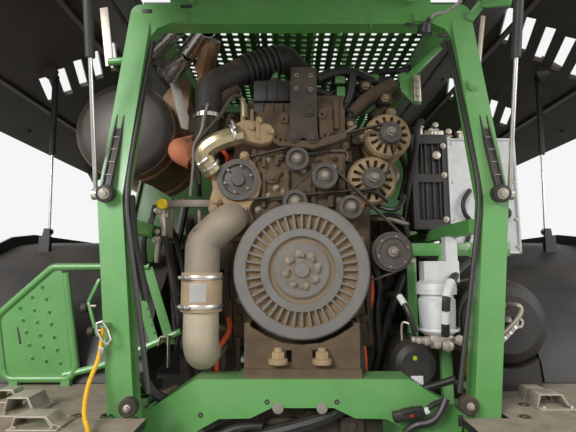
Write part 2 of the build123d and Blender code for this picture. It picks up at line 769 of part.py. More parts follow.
deck_plan = [
    (deck_in_x, deck_front_y), (deck_out_x, deck_front_y), (deck_out_x, body_rear), (430, body_rear),
     (430, -2572),
    (deck_in_x, -2572),
]
deck = plan_shape(deck_plan, deck_top - deck_thick, deck_top)
deck += block((deck_out_x - 30, deck_out_x), (body_rear, deck_front_y),
    (deck_top - 90, deck_top - deck_thick))
deck += block((430, deck_out_x), (body_rear, body_rear + 30), (deck_top - 90, deck_top - deck_thick))
deck += block((rail_out_x + 0.3, deck_out_x - 100), (-2700, -2640), (deck_top - 92, deck_top - deck_thick))

# Rear fenders: a wheel arch of bent sheet with an inner wall beside the engine

fender_line = [
    (-2200, deck_top + 0.3), (-2186, 1262), (-2080, 1450), (-1900, 1605), (-1650, 1704), (-1480, 1728),
     (-820, 1728),
    (-620, 1690), (-440, 1580), (-380, 1500),
]
fender = side_shape(thick(fender_line, 16), 560, 1420)
wall_line = fender_line + [(-380, 1230), (-700, 1230), (-1000, 1290), (-1500, 1290), (-1900, 1230),
    (-2120, deck_top + 0.3)]
fender += side_shape(wall_line, 560, 572)
fender += side_shape(thick(fender_line, 60), 1408, 1420)
# The right one leaves room for the accumulator drum
niche = block((550, 866), (-2300, -1900), (deck_top - 10, 1700))
panel_strut_y = -1700.0
panel_strut_low = (1215.0, panel_strut_y, 1786.0)
strut_pin_half = 14.0
stand_face_y = panel_strut_y - strut_pin_half - 0.3
strut_stand = block((1190, 1240), (stand_face_y - 26, stand_face_y), (1662, 1760))
strut_stand += rear_shape([(1195, 1755), (1235, 1755), (1228, 1800), (1202, 1800)], stand_face_y - 12,
    stand_face_y)
fender += strut_stand
save("rear_fenders", fender - niche, mirrored(fender), *both(deck))

# Guard on the left of the bay: bent tube round a dimpled plate, on two feet

guard_y = -2235.0
guard_r = 13.0
guard_path = [
    (-545, guard_y, 1613), (-893, guard_y, 1611), (-1082, guard_y, 1436), (-1039, guard_y, 1222),
    (-784, guard_y, 1222), (-846, guard_y, 1590),
]
guard = pipe(guard_path, guard_r, [45, 45, 40, 40])
plate = rear_shape(
    [(-896, 1605), (-1075, 1434), (-1034, 1228), (-800, 1228), (-862, 1605)], guard_y - 2, guard_y + 2
)
feet = []
for x in (-1000, -820):
    feet.append(block((x - 15, x + 15), (guard_y - 12, guard_y + 12), (deck_top + 0.3, 1222)))
rungs = []
for x in (-609, -552):
    rungs.append(rear_shape([(x - 17, 1612), (x + 17, 1612), (x + 110, 1340), (x + 76, 1340)], guard_y - 2,
        guard_y + 2))
save("bay_guard", guard + plate + feet, *rungs)

# Air tanks, dryer and the cooler box at the right of the bay

drum_c = (702.0, -2325.0, 1418.0)
drum_r = 146.0
drum = turned(
    [(0, 0), (0, drum_r - 50), (16, drum_r - 20), (44, drum_r), (320, drum_r), (350, drum_r - 30),
     (360, 0)], drum_c, "y"
)
drum_saddle = rear_shape(
    [(600, deck_top + 0.3), (610, 1330), (660, 1300), (702, 1292), (744, 1300), (794, 1330),
     (804, deck_top + 0.3)],
    -2310, -2196,
) - rod((702, -2400, 1418), (702, -2100, 1418), drum_r + 0.3)
tank = turned(
    [(0, 0), (0, 50), (10, 72), (34, 86), (190, 86), (214, 70), (222, 0)], (414, -2205, 1262), "y"
)
tank += rod((414, -2160, 1340), (414, -2160, 1366), 15)
tank_saddle = block((352, 408), (-2180, -2030), (rail_rear_high + 0.3, 1200)) - rod(
    (414, -2300, 1262), (414, -1900, 1262), 86.3
)
save("air_tanks", drum, drum_saddle, tank, tank_saddle)
dryer = turned(
    [(0, 0), (0, 48), (8, 58), (116, 62), (124, 56), (136, 56), (136, 67), (172, 67), (186, 48), (186, 0)],
    (468, -2290, 1382), "z",
)
dryer += block((420, 540), (-2320, -2262), (1560, 1630))
dryer += block((500, 540), (-2310, -2270), (1625, mid_rail_z[0] - 0.3))
save("air_dryer", dryer)
cooler_y = (-2100.0, -1960.0)
cooler = rear_shape([(602, 1662), (602, 2134), (876, 2134), (876, 1662)], *cooler_y, 14)
cooler_frame = rear_shape(
    [(457, mid_rail_z[1] + 0.3), (457, 2150), (601.7, 2150), (601.7, mid_rail_z[1] + 0.3)], cooler_y[0],
     cooler_y[0] + 70
) - block((480, 580), (cooler_y[0] - 5, cooler_y[1]), (1800, 1950)) - block((480, 580),
(cooler_y[0] - 5, cooler_y[1]), (1985, 2110))
save("side_cooler", cooler, cooler_frame)

# Straps that hold the exhaust canister to the left longeron
straps = []
for y in (-1780, -1420):
    ring = turned([(0, canister_r + 0.3), (0, canister_r + 12), (40, canister_r + 12),
        (40, canister_r + 0.3)], (canister_c[0], y, canister_c[2]), "y")
    hanger = rear_shape([(-660, 2440), (-600, 2529.7), (-531, 2529.7), (-531, 2400), (-560, 2240),
        (-590, 2320)], y, y + 40)
    hanger -= rod((canister_c[0], y - 10, canister_c[2]), (canister_c[0], y + 60, canister_c[2]),
        canister_r + 0.3)
    straps.append(ring + hanger)
save("exhaust_canister", canister, *straps, stack)

# Hatch over the rear of the engine, stored open above the arch, in the plane of its hinge

lip_deep = 120.0
hatch_len = (hatch_pivot[1] - rear_end - lip_deep * sin(radians(hatch_tilt))) / cos(radians(hatch_tilt))
hatch_half_w = 700.0
wing_deep = 280.0
hinge_r = 13.0


def hatch_place(shape):
    """Turns a piece drawn lying level behind the hinge up to the hatch's open angle."""
    return Pos(*hatch_pivot) * Rot(-hatch_tilt, 0, 0) * shape


face = block((-hatch_half_w, hatch_half_w), (-hatch_len, -95), (0, skin))
for col in (-1, 0, 1):
    for row in range(6):
        face -= Pos(col * 330, -430 - row * 70, skin / 2) * Box(230, 30, 60)
wing = side_shape(
    [(-hatch_len, 0), (-hatch_len, -lip_deep), (-hatch_len + 120, -wing_deep), (-420, -wing_deep),
     (-180, -60), (-180, 0)],
    hatch_half_w - skin, hatch_half_w,
)
lip = block((-hatch_half_w, hatch_half_w), (-hatch_len, -hatch_len + skin), (-lip_deep, 0))
ears = []
for x in (-402, 402):
    s = 1 if x > 0 else -1
    low_x, high_x = sorted((x, x + s * 16))
    ear = side_shape([(-22, -20), (20, -20), (20, 20), (-22, 24), (-200, 18), (-200, -30)], low_x, high_x)
    ears.append(ear - rod((low_x - 5, 0, 0), (high_x + 5, 0, 0), hinge_r + 0.4))
hatch_eye = (-290.0, -45.0)
pin_r = 8.0
strut_x = 634.0
lugs = []
for s in (-1, 1):
    low_x, high_x = sorted((s * (strut_x + 18), s * (hatch_half_w - skin + 1)))
    lug = side_shape([(-325, 0), (-325, -30), (-308, -66), (-272, -66), (-255, -30), (-255, 0)], low_x,
        high_x)
    lug += block((low_x, high_x), (-325, -255), (-8, 2))
    lugs.append(lug + rod((s * (strut_x - 13), *hatch_eye), (s * (strut_x + 26), *hatch_eye), pin_r))
save("rear_hatch", hatch_place(face + wing + mirrored(wing) + lip + ears + lugs))

# Hinge lugs of the hatch on the arch, with the pins that the ears turn on
hinge_lugs = []
for s in (-1, 1):
    low_x, high_x = sorted((s * 380, s * 396))
    lug = side_shape([(-2350, 2540), (-2350, 2596), (-2378, 2672), (-2398, 2690), (-2424, 2676),
        (-2424, 2648), (-2392, 2540)],
                     low_x, high_x)
    hinge_lugs.append(lug + rod((s * 376, *hatch_pivot[1:]), (s * 424, *hatch_pivot[1:]), hinge_r))


def telescope(held, loose, along, barrel_l, rod_l, barrel_r, rod_r, pin, half_w, pin_half):
    """A strut: its barrel's eye turns on a pin at held, and its rod's eye at loose carries a short pin."""
    a, b = Vector(*held), Vector(*loose)
    way = (b - a).normalized()
    side = Vector(*along)
    eye = 2 * pin + 1
    barrel = rod(tuple(a + way * (eye - 4)), tuple(a + way * barrel_l), barrel_r)
    barrel += rod(tuple(a - side * half_w), tuple(a + side * half_w), eye)
    barrel -= rod(tuple(a - side * half_w * 2), tuple(a + side * half_w * 2), pin + 0.3)
    barrel -= rod(tuple(a + way * (eye + 14)), tuple(a + way * (barrel_l + 5)), rod_r + 0.4)
    piston = rod(tuple(b - way * (eye - 4)), tuple(b - way * rod_l), rod_r)
    piston += rod(tuple(b - side * half_w), tuple(b + side * half_w), eye)
    piston += rod(tuple(b - side * pin_half), tuple(b + side * pin_half), pin)
    return barrel, piston


# Hatch struts from the bend of the arch to the hatch
angle = radians(hatch_tilt)
hatch_strut_low = (strut_x, -2500.0, 1830.0)
hatch_strut_high = (
    strut_x,
    hatch_pivot[1] + hatch_eye[0] * cos(angle) + hatch_eye[1] * sin(angle),
    hatch_pivot[2] - hatch_eye[0] * sin(angle) + hatch_eye[1] * cos(angle),
)
barrel, piston = telescope(hatch_strut_high, hatch_strut_low, (1, 0, 0), 480, 460, 14, 6.5, pin_r, 9,
    strut_pin_half)
save("hatch_strut_barrels", *both(barrel))
save("hatch_strut_rods", *both(piston))
bosses = []
boss_end = strut_x - strut_pin_half - 0.3
for s in (-1, 1):
    bosses.append(rod((s * (arch_bend[0] + 20), *hatch_strut_low[1:]),
        (s * boss_end, *hatch_strut_low[1:]), pin_r + 4))
# Lug on the left post that the pull rope hangs from
rope_top = (-566.0, -2562.0, 1440.0)
rope_lug = block((rope_top[0] - 12, rope_top[0] + 12), (rope_top[1] - 8, -2530),
    (rope_top[2], rope_top[2] + 12))
save("rear_arch", arch + hinge_lugs + bosses + rope_lug)

# Side panels of the bay, hinged along the roof and stored open like wings

panel_outer = [(611, 2652), (706, 2655), (1000, 2562), (1196, 2050), (1292, 1782)]
panel_s = skin
panel_outline = thick(panel_outer, -panel_s)
flange_outer = [(640, 2640), (706, 2655), (1000, 2562), (1196, 2050), (1292, 1782)]
panel_eye_shut = (1060.0, 2210.0)
slot_l = 250.0
slot_w = 44.0
slot_tilt = 19.0
slot_pitch = 98.0


def side_panel(groups):
    """The right panel, shut; groups are the (y, first distance down the slope, count) of its slot rows."""
    shell = rear_shape(panel_outline, panel_rear_y, panel_front_y)
    for y0 in (panel_rear_y, panel_front_y - skin):
        shell += rear_shape(thick(flange_outer[1:], -110), y0, y0 + skin)
    a, b = Vector(1000, 0, 2562), Vector(1196, 0, 2050)
    down = (b - a).normalized()
    out = Vector(-down.Z, 0, down.X)
    for y, first, count in groups:
        for i in range(count):
            at = a + down * (first + i * slot_pitch) + Vector(0, y, 0)
            plane = Plane(origin=tuple(at), x_dir=(0, 1, 0), z_dir=tuple(out))
            shell -= plane * Rot(0, 0, -slot_tilt) * Box(slot_l, slot_w, 90)
    ex, ez = panel_eye_shut
    bracket = rear_shape([(ex - 26, ez - 20), (ex - 10, ez + 30), (ex + 75, ez + 70), (ex + 112, ez - 40),
        (ex, ez - 30)],
                         panel_strut_y - 30, panel_strut_y - 18)
    bracket += rod((ex, panel_strut_y - 30, ez), (ex, panel_strut_y + 12, ez), pin_r)
    shell += bracket
    for y in (-2000, -1335, -700):
        shell -= block((600, 676), (y - 68, y + 68), (2600, 2700))
        shell += rear_shape([(640, 2630), (640, 2652), (690, 2655), (690, 2632)], y - 38, y + 38)
        shell += rod((640, y - 38, 2640), (640, y + 38, 2640), 14)
        shell -= rod((640, y - 70, 2640), (640, y + 70, 2640), 8.4)
    return shell


def swing(shape, degrees_up, hand):
    """Swings a right-hand (+1) or left-hand (-1) panel up about its hinge."""
    pivot = Pos(hand * panel_pivot[0], 0, panel_pivot[2])
    back = Pos(-hand * panel_pivot[0], 0, -panel_pivot[2])
    return pivot * Rot(0, -hand * degrees_up, 0) * back * shape


right_panel = side_panel([(-1862, 60, 5), (-1141, 60, 5)])
left_panel = mirrored(side_panel([(-1560, 60, 5), (-900, 60, 5)]))
save("side_panel_right", swing(right_panel, panel_open, 1))
save("side_panel_left", swing(left_panel, panel_open, -1))

# Hinge brackets of the panels on the roof's edges
brackets_of_panels = []
for y in (-2000, -1335, -700):
    for dy in (-62, 44):
        bracket = rear_shape([(560, 2589), (560, 2606), (628, 2656), (655, 2652), (655, 2628), (612, 2589)],
                             y + dy, y + dy + 18)
        bracket += rod((640, y + dy, 2640), (640, y + dy + 18, 2640), 16)
        brackets_of_panels += both(bracket)
    brackets_of_panels += both(rod((640, y - 50, 2640), (640, y + 50, 2640), 8))

# Struts of the side panels, from the fenders to the panels
pivot = Vector(panel_pivot[0], 0, panel_pivot[2])
arm = Vector(panel_eye_shut[0], 0, panel_eye_shut[1]) - pivot
turn = radians(panel_open)
panel_strut_high = (
    pivot.X + arm.X * cos(turn) - arm.Z * sin(turn),
    panel_strut_y,
    pivot.Z + arm.X * sin(turn) + arm.Z * cos(turn),
)
barrel, piston = telescope(panel_strut_high, panel_strut_low, (0, 1, 0), 408, 415, 14, 6, pin_r, 9,
    strut_pin_half)
save("right_strut_barrel", barrel)
save("right_strut_rod", piston)
save("left_strut_barrel", mirrored(barrel))
save("left_strut_rod", mirrored(piston))

# Body between the engine bay and the cab: shell with cooling screens and the turret's opening

mid_y = (-290.0, 900.0)
mid_half_w = 1150.0
mid_outline = [
    (-mid_half_w, 1640), (-mid_half_w, 2420), (-mid_half_w + 120, 2640), (-560, 2680), (560, 2680),
    (mid_half_w - 120, 2640), (mid_half_w, 2420), (mid_half_w, 1640),
]
mid_body = rear_shape(mid_outline, *mid_y)
inner_outline = [(x * 0.955, z - (36 if z > 2000 else -40)) for x, z in mid_outline]
mid_body -= rear_shape(inner_outline, mid_y[0] + 40, mid_y[1] - 40)
mid_body -= block((-300, 300), (mid_y[1] - 60, mid_y[1] + 10), (1600, 2560))
mid_body -= block((-440, 440), (mid_y[0] - 10, mid_y[0] + 60), (1690, 2460))
mid_body -= block((-300, 300), (300, mid_y[1] + 10), (1600, 1700))
mid_body -= Pos(0, turret_y, 2680) * Cylinder(262, 120)
for s in (-1, 1):
    low_x, high_x = sorted((s * 1080, s * 1200))
    mid_body -= block((low_x, high_x), (-180, 760), (1780, 2340))
screens = []
for s in (-1, 1):
    low_x, high_x = sorted((s * 1118, s * 1130))
    screen = block((low_x, high_x), (-180.0, 760), (1780, 2340))
    for i in range(7):
        y = -110 + i * 130
        screen -= block((low_x - 5, high_x + 5), (y - 45, y + 45), (1830, 2290))
    for i in range(4):
        z = 1900 + i * 110
        screen += block((low_x, high_x), (-180.0, 760), (z - 8, z + 8))
    screens.append(screen)

# Fuel tanks on the outside of the rails

tank_shape = side_shape([(-170, 760), (-170, 1560), (-60, 1600), (690, 1600), (690, 760), (600, 700),
    (-90, 700)],
                        rail_out_x + 0.3, 1180, 40)
save("fuel_tanks", *both(tank_shape))

# Crop channel from the cutterhead up to the turret, and the accelerator in it

channel = side_shape(
    [(2330, 1215), (2112, 1215), (2080, 1300), (1500, 1335), (1000, 1560), (420, 1700), (330, 2000),
     (330, 2641.7),
     (790, 2641.7), (800, 2300), (1040, 1960), (1500, 1640), (2080, 1560), (2330, 1480)],
    -270, 270,
)

# Cab: a hollow shell with openings, glass, door, seat and steering

cab_outline = [
    (cab_rear_y, cab_floor), (cab_front_y - 120, cab_floor), (cab_front_y + 60, 2480), (cab_front_y, 3250),
    (cab_front_y - 130, cab_top), (cab_rear_y + 60, cab_top), (cab_rear_y, 3300),
]
cab_cross = [
    (-cab_half_w + 50, cab_floor), (-cab_half_w, 2480), (-cab_half_w, 3150), (-cab_half_w + 80, cab_top),
    (cab_half_w - 80, cab_top), (cab_half_w, 3150), (cab_half_w, 2480), (cab_half_w - 50, cab_floor),
]


def cab_layer(inset):
    """The cab's outside form drawn in by inset on every side."""
    plane_side = Plane(origin=(-cab_half_w, 0, 0), x_dir=(0, 1, 0), z_dir=(1, 0, 0))
    plane_rear = Plane(origin=(0, 3000, 0), x_dir=(1, 0, 0), z_dir=(0, -1, 0))
    side_face = make_face(Polyline(*cab_outline, close=True))
    rear_face = make_face(Polyline(*cab_cross, close=True))
    if inset:
        side_face = offset(side_face, amount=-inset, kind=Kind.INTERSECTION)
        rear_face = offset(rear_face, amount=-inset, kind=Kind.INTERSECTION)
    return extrude(plane_side * side_face, amount=2 * cab_half_w) & extrude(plane_rear * rear_face,
        amount=2500)


door_y = (1180.0, 2140.0)
door_z = (2215.0, 3500.0)
outer = cab_layer(0)
shell = outer - cab_layer(cab_wall)
windows = [
    block((-770, 770), (2300, 3000), (2400, 3520)),
    block((-740, 740), (900, 1300), (2600, 3480)),
    block((700, 1000), (1250, 2100), (2420, 3480)),
    block((700, 1000), (2180, 2520), (2420, 3440)),
    block((-1000, -700), (2220, 2520), (2420, 3440)),
]
door_hole = block((-1000, -700), door_y, door_z)
glass_layer = cab_layer(24) - cab_layer(24 + glass_t)
panes = []
for window in windows:
    shell -= window
    panes.extend((glass_layer & window).solids())
shell -= door_hole
save("cab_glass", *panes)
door_pane = block((-1000, -700), (door_y[0] + 8, door_y[1] - 8), (door_z[0] + 8, door_z[1] - 8))
door_window = block((-1000, -700), (door_y[0] + 70, door_y[1] - 70), (door_z[0] + 75, door_z[1] - 75))
door = (cab_layer(0) - cab_layer(45)) & (door_pane - door_window)
# The door hangs on a pin that stands just outside its rear edge
door_pin = (-cab_half_w - 12.0, door_y[0] - 12.0)
for z in (2500, 3100):
    door += rod((*door_pin, z - 37.7), (*door_pin, z + 37.7), 10)
    door += block((-cab_half_w - 18, -cab_half_w - 6), (door_y[0] - 8, door_y[0] + 60), (z - 30, z + 30))
    door += block((-cab_half_w - 8, -cab_half_w + 10), (door_y[0] + 20, door_y[0] + 60), (z - 30, z + 30))
door += block((-cab_half_w - 40, -cab_half_w + 2), (door_y[1] - 60, door_y[1] - 30), (2700, 2860))
door_glass = (cab_layer(16) - cab_layer(16 + glass_t)) & door_window
save("cab_door", door, door_glass)
hinge_blocks = []
for z in (2500, 3100):
    for dz in (-62, 38):
        b = block((-cab_half_w - 24, -cab_half_w + 8), (door_y[0] - 50, door_y[0] - 24.5),
            (z + dz, z + dz + 24))
        hinge_blocks.append(b + block((-cab_half_w - 24, -cab_half_w - 0.3),
            (door_y[0] - 30, door_y[0] - 2), (z + dz, z + dz + 24)))

cap = rear_shape(
    [(-cab_half_w - 20, cab_top + 0.3), (-cab_half_w - 20, cab_top + 110), (-700, roof_cap_high - 60),
     (-300, roof_cap_high),
     (300, roof_cap_high), (700, roof_cap_high - 60), (cab_half_w + 20, cab_top + 110),
      (cab_half_w + 20, cab_top + 0.3)],
    cab_rear_y + 20, cab_front_y + 60,
)
cap &= side_shape(
    [(cab_rear_y + 20, cab_top), (cab_rear_y + 20, cab_top + 120), (cab_rear_y + 260, roof_cap_high + 10),
     (cab_front_y - 260, roof_cap_high + 10), (cab_front_y + 60, cab_top + 140),
      (cab_front_y + 60, cab_top)],
    -1000, 1000,
)
save("cab_roof", cap)

seat = side_shape(
    [(1420, 2560), (1420, 2700), (1500, 2700), (1500, 2690), (1930, 2700), (1960, 2660), (1940, 2580)],
     -250, 250
)
seat += side_shape([(1420, 2700), (1380, 3240), (1430, 3290), (1500, 3240), (1530, 2700)], -235, 235)
seat += block((-150, 150), (1500, 1850), (cab_floor + cab_wall + 0.3, 2590))
seat += block((255, 420), (1450, 2080), (2680, 2760))
seat += block((240, 300), (1500, 1560), (2600, 2690))
seat += rod((360, 2040, 2755), (360, 2060, 2900), 18)
column = side_shape([(2330, 2210.3), (2470, 2210.3), (2330, 2820), (2270, 2800)], -45, 45)
wheel_c = Vector(0, 2265, 2850)
tilt = Vector(0, -0.42, 0.907)
plane = Plane(origin=tuple(wheel_c), x_dir=(1, 0, 0), z_dir=tuple(tilt))
ring = revolve(plane * Pos(190, 0, 0) * Rot(90, 0, 0) * Circle(15), axis=Axis(tuple(wheel_c), tuple(tilt)))
spokes = rod(tuple(wheel_c - Vector(185, 0, 0)), tuple(wheel_c + Vector(185, 0, 0)), 11)
hub = rod(tuple(wheel_c - tilt * 60), tuple(wheel_c + tilt * 14), 42)
save("cab_interior", seat, column + ring + spokes + hub)

# Platforms beside the cab that are also the front fenders, and the ladder at the left

platform = block((cab_half_w + 6, 1640), (cab_rear_y - 80, cab_front_y - 250), (cab_floor - 40, cab_floor))
platform += side_shape(
    thick([(cab_front_y - 250, cab_floor - 20), (cab_front_y + 20, cab_floor - 90),
    (cab_front_y + 180, cab_floor - 260)], 16),
    cab_half_w + 6, 1640,
)
platform += block((mid_half_w + 0.3, 1640), (740, cab_rear_y - 80), (cab_floor - 40, cab_floor))
cab_base = side_shape(
    [(cab_rear_y + 10, cab_floor - 0.3), (cab_front_y - 130, cab_floor - 0.3), (cab_front_y - 200, 2030),
     (cab_rear_y + 10, 2030)],
    -cab_half_w + 60, cab_half_w - 60,
) - block((-290, 290), (cab_rear_y - 10, 1300), (2000, 2200))
save("cab_shell", shell + hinge_blocks, cab_base)
for y in (1120.0, 2200.0):
    platform += block((cab_half_w - 59.7, 1500), (y, y + 60), (cab_floor - 110, cab_floor - 30))
ladder = []
for y in (160, 640):
    ladder.append(rear_shape([(-1440, 450), (-1400, 450), (-1240, 2149), (-1280, 2149)], y, y + 24))
for i in range(6):
    z = 500 + i * 290
    x = -1420 + (z - 450) / 1699 * 160
    ladder.append(block((x - 90, x + 50), (162, 662), (z, z + 26)))
ladder_solid = ladder[0]
for piece in ladder[1:]:
    ladder_solid += piece
rail_path = [(-1290, 172, 2100), (-1300, 172, 3050), (-1300, 420, 3120), (-1300, 652, 3050),
    (-1290, 652, 2100)]
ladder_solid += block((-1290, -1150.3), (162, 740), (cab_floor - 40, cab_floor))
ladder_solid += pipe(rail_path, 17, [80, 120, 80])
save("access_platforms", mirrored(platform) + ladder_solid, platform)

# Mirrors and lamps

mirror_path = [
    (890, 2680, cab_top), (890, 2680, cab_top - 80), (1200, 2730, cab_top - 100),
     (1240, 2740, cab_top - 340),
]
arm = pipe(mirror_path, 14, [30, 60])
head = block((1150, 1390), (2700, 2760), (2860, 3310))
mirror_parts = both(arm + head)
lamps = []
for x in (-780, -520, 520, 780):
    lamps.append(block((x - 85, x + 85), (cab_front_y + 60.3, cab_front_y + 130),
        (cab_top + 20, cab_top + 120)))
for x in (-600, 600):
    lamps.append(Pos(x, 1500, roof_cap_high - 5) * Cylinder(60, 150) - cap)
save("lamps_and_mirrors", *lamps, *mirror_parts)

# Spout: turret, arm with its lift joint, end flap and lift cylinder

turret_ring = Pos(0, turret_y, 2692) * (Cylinder(300, 100) - Cylinder(215, 110))
save("mid_body", mid_body + turret_ring, *screens)
turret_low = 2742.3
turret = Pos(0, turret_y, turret_low + 60) * (Cylinder(250, 120) - Cylinder(212, 120))
neck = side_shape([(330, 2860), (330, 3010), (420, 3110), (560, 3140), (790, 3060), (790, 2860)], -200, 200)
neck -= side_shape([(345, 2840), (345, 3000), (430, 3200), (560, 3200), (775, 3040), (775, 2840)], -190,
    190)
cheeks = []
for s in (-1, 1):
    low_x, high_x = sorted((s * 200, s * 222))
    cheek = side_shape([(400, 2880), (400, 3050), (440, 3090), (510, 3090), (560, 3040), (700, 2880)],
        low_x, high_x)
    cheeks.append(cheek + rod((s * 199, *spout_lift_pivot[1:]), (s * 250, *spout_lift_pivot[1:]), 24))
collar = Pos(0, turret_y, 2863) * (Box(444, 500, 8) - Cylinder(212, 20))

arm_line = [(560, 3160), (330, 3300), (60, 3430), (-500, 3520), (-1500, 3470), (-2500, 3330), (-3230, 3180)]
arm_depth = [300, 300, 290, 280, 270, 250, 230]
arm_half_w = 170.0
top_edge = [(y, z + d / 2) for (y, z), d in zip(arm_line, arm_depth)]
low_edge = [(y, z - d / 2) for (y, z), d in zip(arm_line, arm_depth)]
arm = side_shape(top_edge + low_edge[::-1], -arm_half_w, arm_half_w)
top_in = [(y, z - 8) for y, z in top_edge]
low_in = [(y, z + 8) for y, z in low_edge]
top_in[0] = (600, top_in[0][1])
top_in[-1] = (-3300, top_in[-1][1] - 25)
low_in[0] = (600, low_in[0][1] - 40)
low_in[-1] = (-3300, low_in[-1][1] - 25)
arm -= side_shape(top_in + low_in[::-1], -arm_half_w + 8, arm_half_w - 8)
arm -= side_shape([(620, 2900), (620, 3148), (330, 3148), (250, 3290), (180, 3100)], -arm_half_w + 8,
    arm_half_w - 8)
for s in (-1, 1):
    low_x, high_x = sorted((s * 228, s * 246))
    ear = side_shape(
        [(505, 2982), (512, 3050), (440, 3150), (340, 3300), (240, 3372), (100, 3392), (100, 3328),
         (225, 3290),
         (330, 3150), (425, 2985)],
        low_x, high_x,
    )
    ear -= rod((low_x - 5, *spout_lift_pivot[1:]), (high_x + 5, *spout_lift_pivot[1:]), 24.4)
    low_x, high_x = sorted((s * (arm_half_w - 1), s * 229))
    arm += block((low_x, high_x), (100, 240), (3330, 3370)) + ear
# Lift cylinder under the arm, with its brackets
lift_pin_r = 14.0
lift_low = (0.0, 262.0, 2884.0)
lift_high = (0.0, -100.0, 3278.0)
turret_bracket = []
arm_bracket = []
for s in (-1, 1):
    low_x, high_x = sorted((s * 37, s * 51))
    turret_bracket.append(
        side_shape([(331, 2860), (331, 2960), (290, 2912), (246, 2906), (238, 2868), (250, 2852),
        (316, 2852)], low_x, high_x)
    )
    arm_bracket.append(side_shape([(-165, 3328), (-35, 3306), (-72, 3254), (-128, 3254)], low_x, high_x))
    arm_bracket.append(rod((s * 50, *lift_high[1:]), (s * 60, *lift_high[1:]), lift_pin_r + 6))
turret_bracket.append(rod((-51, *lift_low[1:]), (51, *lift_low[1:]), lift_pin_r))
save("spout_turret", turret + neck + cheeks + collar + turret_bracket)
for s in (-1, 1):
    arm += rod((s * (arm_half_w - 4), -3216, 3262), (s * (arm_half_w + 16), -3216, 3262), 10)
save("spout_arm", arm + arm_bracket)
barrel, piston = telescope(lift_low, lift_high, (1, 0, 0), 480, 400, 32, 17, lift_pin_r, 32, 36.7)
save("spout_lift_barrel", barrel)
save("spout_lift_rod", piston)

# Flap at the end of the spout, hinged under its top edge
flap_pivot = (0.0, -3216.0, 3262.0)
flap = side_shape(
    thick([(-3240, 3274), (-3330, 3262), (-3430, 3225), (-3500, 3170)], 8), -arm_half_w - 14, arm_half_w
    + 14
)
for s in (-1, 1):
    low_x, high_x = sorted((s * (arm_half_w + 6), s * (arm_half_w + 14)))
    flap += side_shape([(-3180, 3240), (-3180, 3280), (-3216, 3286), (-3330, 3268), (-3430, 3231),
        (-3500, 3176), (-3440, 3120),
                        (-3260, 3160)], low_x, high_x)
    flap -= rod((s * 150, *flap_pivot[1:]), (s * 200, *flap_pivot[1:]), 10.3)
save("spout_flap", flap)


# Rest for the parked spout on the roof of the engine bay

rest_y = -1290.0
rest = []
for s in (-1, 1):
    rest.append(rear_shape([(s * 430, 2600), (s * 380, 2600), (s * 156, 3272), (s * 206, 3272)],
        rest_y - 25, rest_y + 25))
rest_top = block((-210, 210), (rest_y - 40, rest_y + 40), (3258, 3280))
roof_sheet = roof_sheet + rest[0] + rest[1] + rest_top + block((-460, 460), (rest_y - 30, rest_y + 30),
    (2590, 2612))
save("bay_roof", roof_sheet + brackets_of_panels)

# Cutterhead housing and feed house

cutter_outline = [
    (2110, 1214.7), (2110, 820), (2260, 520), (2600, 470), (2740, 560), (2740, 1214.7),
]
cutter = side_shape(cutter_outline, -feed_half_w, feed_half_w)
save("crop_channel", channel, cutter)

feed_sides = []
feed_outline = [(2740.3, 560), (2740.3, 1230), (3500, 1290), (3640, 1240), (3640, 520), (3400, 480),
    (2900, 480)]
for s in (-1, 1):
    low_x, high_x = sorted((s * feed_half_w, s * (feed_half_w - 30)))
    side = side_shape(feed_outline, low_x, high_x)
    feed_sides.append(side)
roof_plate = side_shape(thick([(2743, 1205), (3500, 1265)], 20), -feed_half_w, feed_half_w)
floor_plate = side_shape(thick([(2760, 500), (2900, 482), (3340, 482)], 14), -feed_half_w, feed_half_w)
feeder = feed_sides[0] + feed_sides[1] + roof_plate + floor_plate
# (y, z, radius, number of bars) of each feed roll
feed_rolls = [
    (3225, 1020, 170, 10),
    (3210, 670, 130, 10),
]
for y, z, radius, bars in feed_rolls:
    feeder -= rod((-500, y, z), (500, y, z), 30.5)
names = ["feed_roll_upper", "feed_roll_lower"]
for name, (y, z, radius, bars) in zip(names, feed_rolls):
    roll = rod((-392, y, z), (392, y, z), radius - (18 if bars else 0))
    roll += rod((-428, y, z), (428, y, z), 30)
    for i in range(bars):
        tooth = block((-388, 388), (-9, 9), (radius - 40, radius))
        roll += Pos(0, y, z) * Rot(360 / bars * i, 0, 0) * tooth
    save(name, roll)

# Coupling frame for the header at the front of the feed house
coupler = rear_shape([(-640, 560), (-640, 1240), (-560, 1330), (560, 1330), (640, 1240), (640, 560)],
    3640.3, 3750 - 40)
coupler -= rear_shape([(-400, 480), (-400, 1160), (400, 1160), (400, 480)], 3600, 3800)
hooks = []
for s in (-1, 1):
    low_x, high_x = sorted((s * 470, s * 540))
    hook = side_shape([(3709, 1180), (3750, 1200), (3750, 1290), (3720, 1250), (3709, 1250)], low_x, high_x)
    hooks.append(hook)
coupler = coupler + hooks
for s in (-1, 1):
    coupler -= rod((s * 580, 3500, 640), (s * 580, 3800, 640), 25)
save("feed_house", feeder, coupler)

# Yellow pull rope from the arch post over the deck
rope_r = 6.0
rope_path = [
    rope_top, (-566, -2562, 1366), (-586, -2592, 1295), (-572, -2640, 1230), (-530, -2692, 1207.5),
    (-505, -2768, 1208.5), (-558, -2825, 1213.5),
]


def easy_bends(points):
    """The largest even bend at each corner that leaves part of both runs straight."""
    radii = []
    for a, b, c in zip(points, points[1:], points[2:]):
        first, second = Vector(*b) - Vector(*a), Vector(*c) - Vector(*b)
        half_turn = radians(first.get_angle(second)) / 2
        radii.append(0.45 * min(first.length, second.length) / tan(half_turn))
    return radii


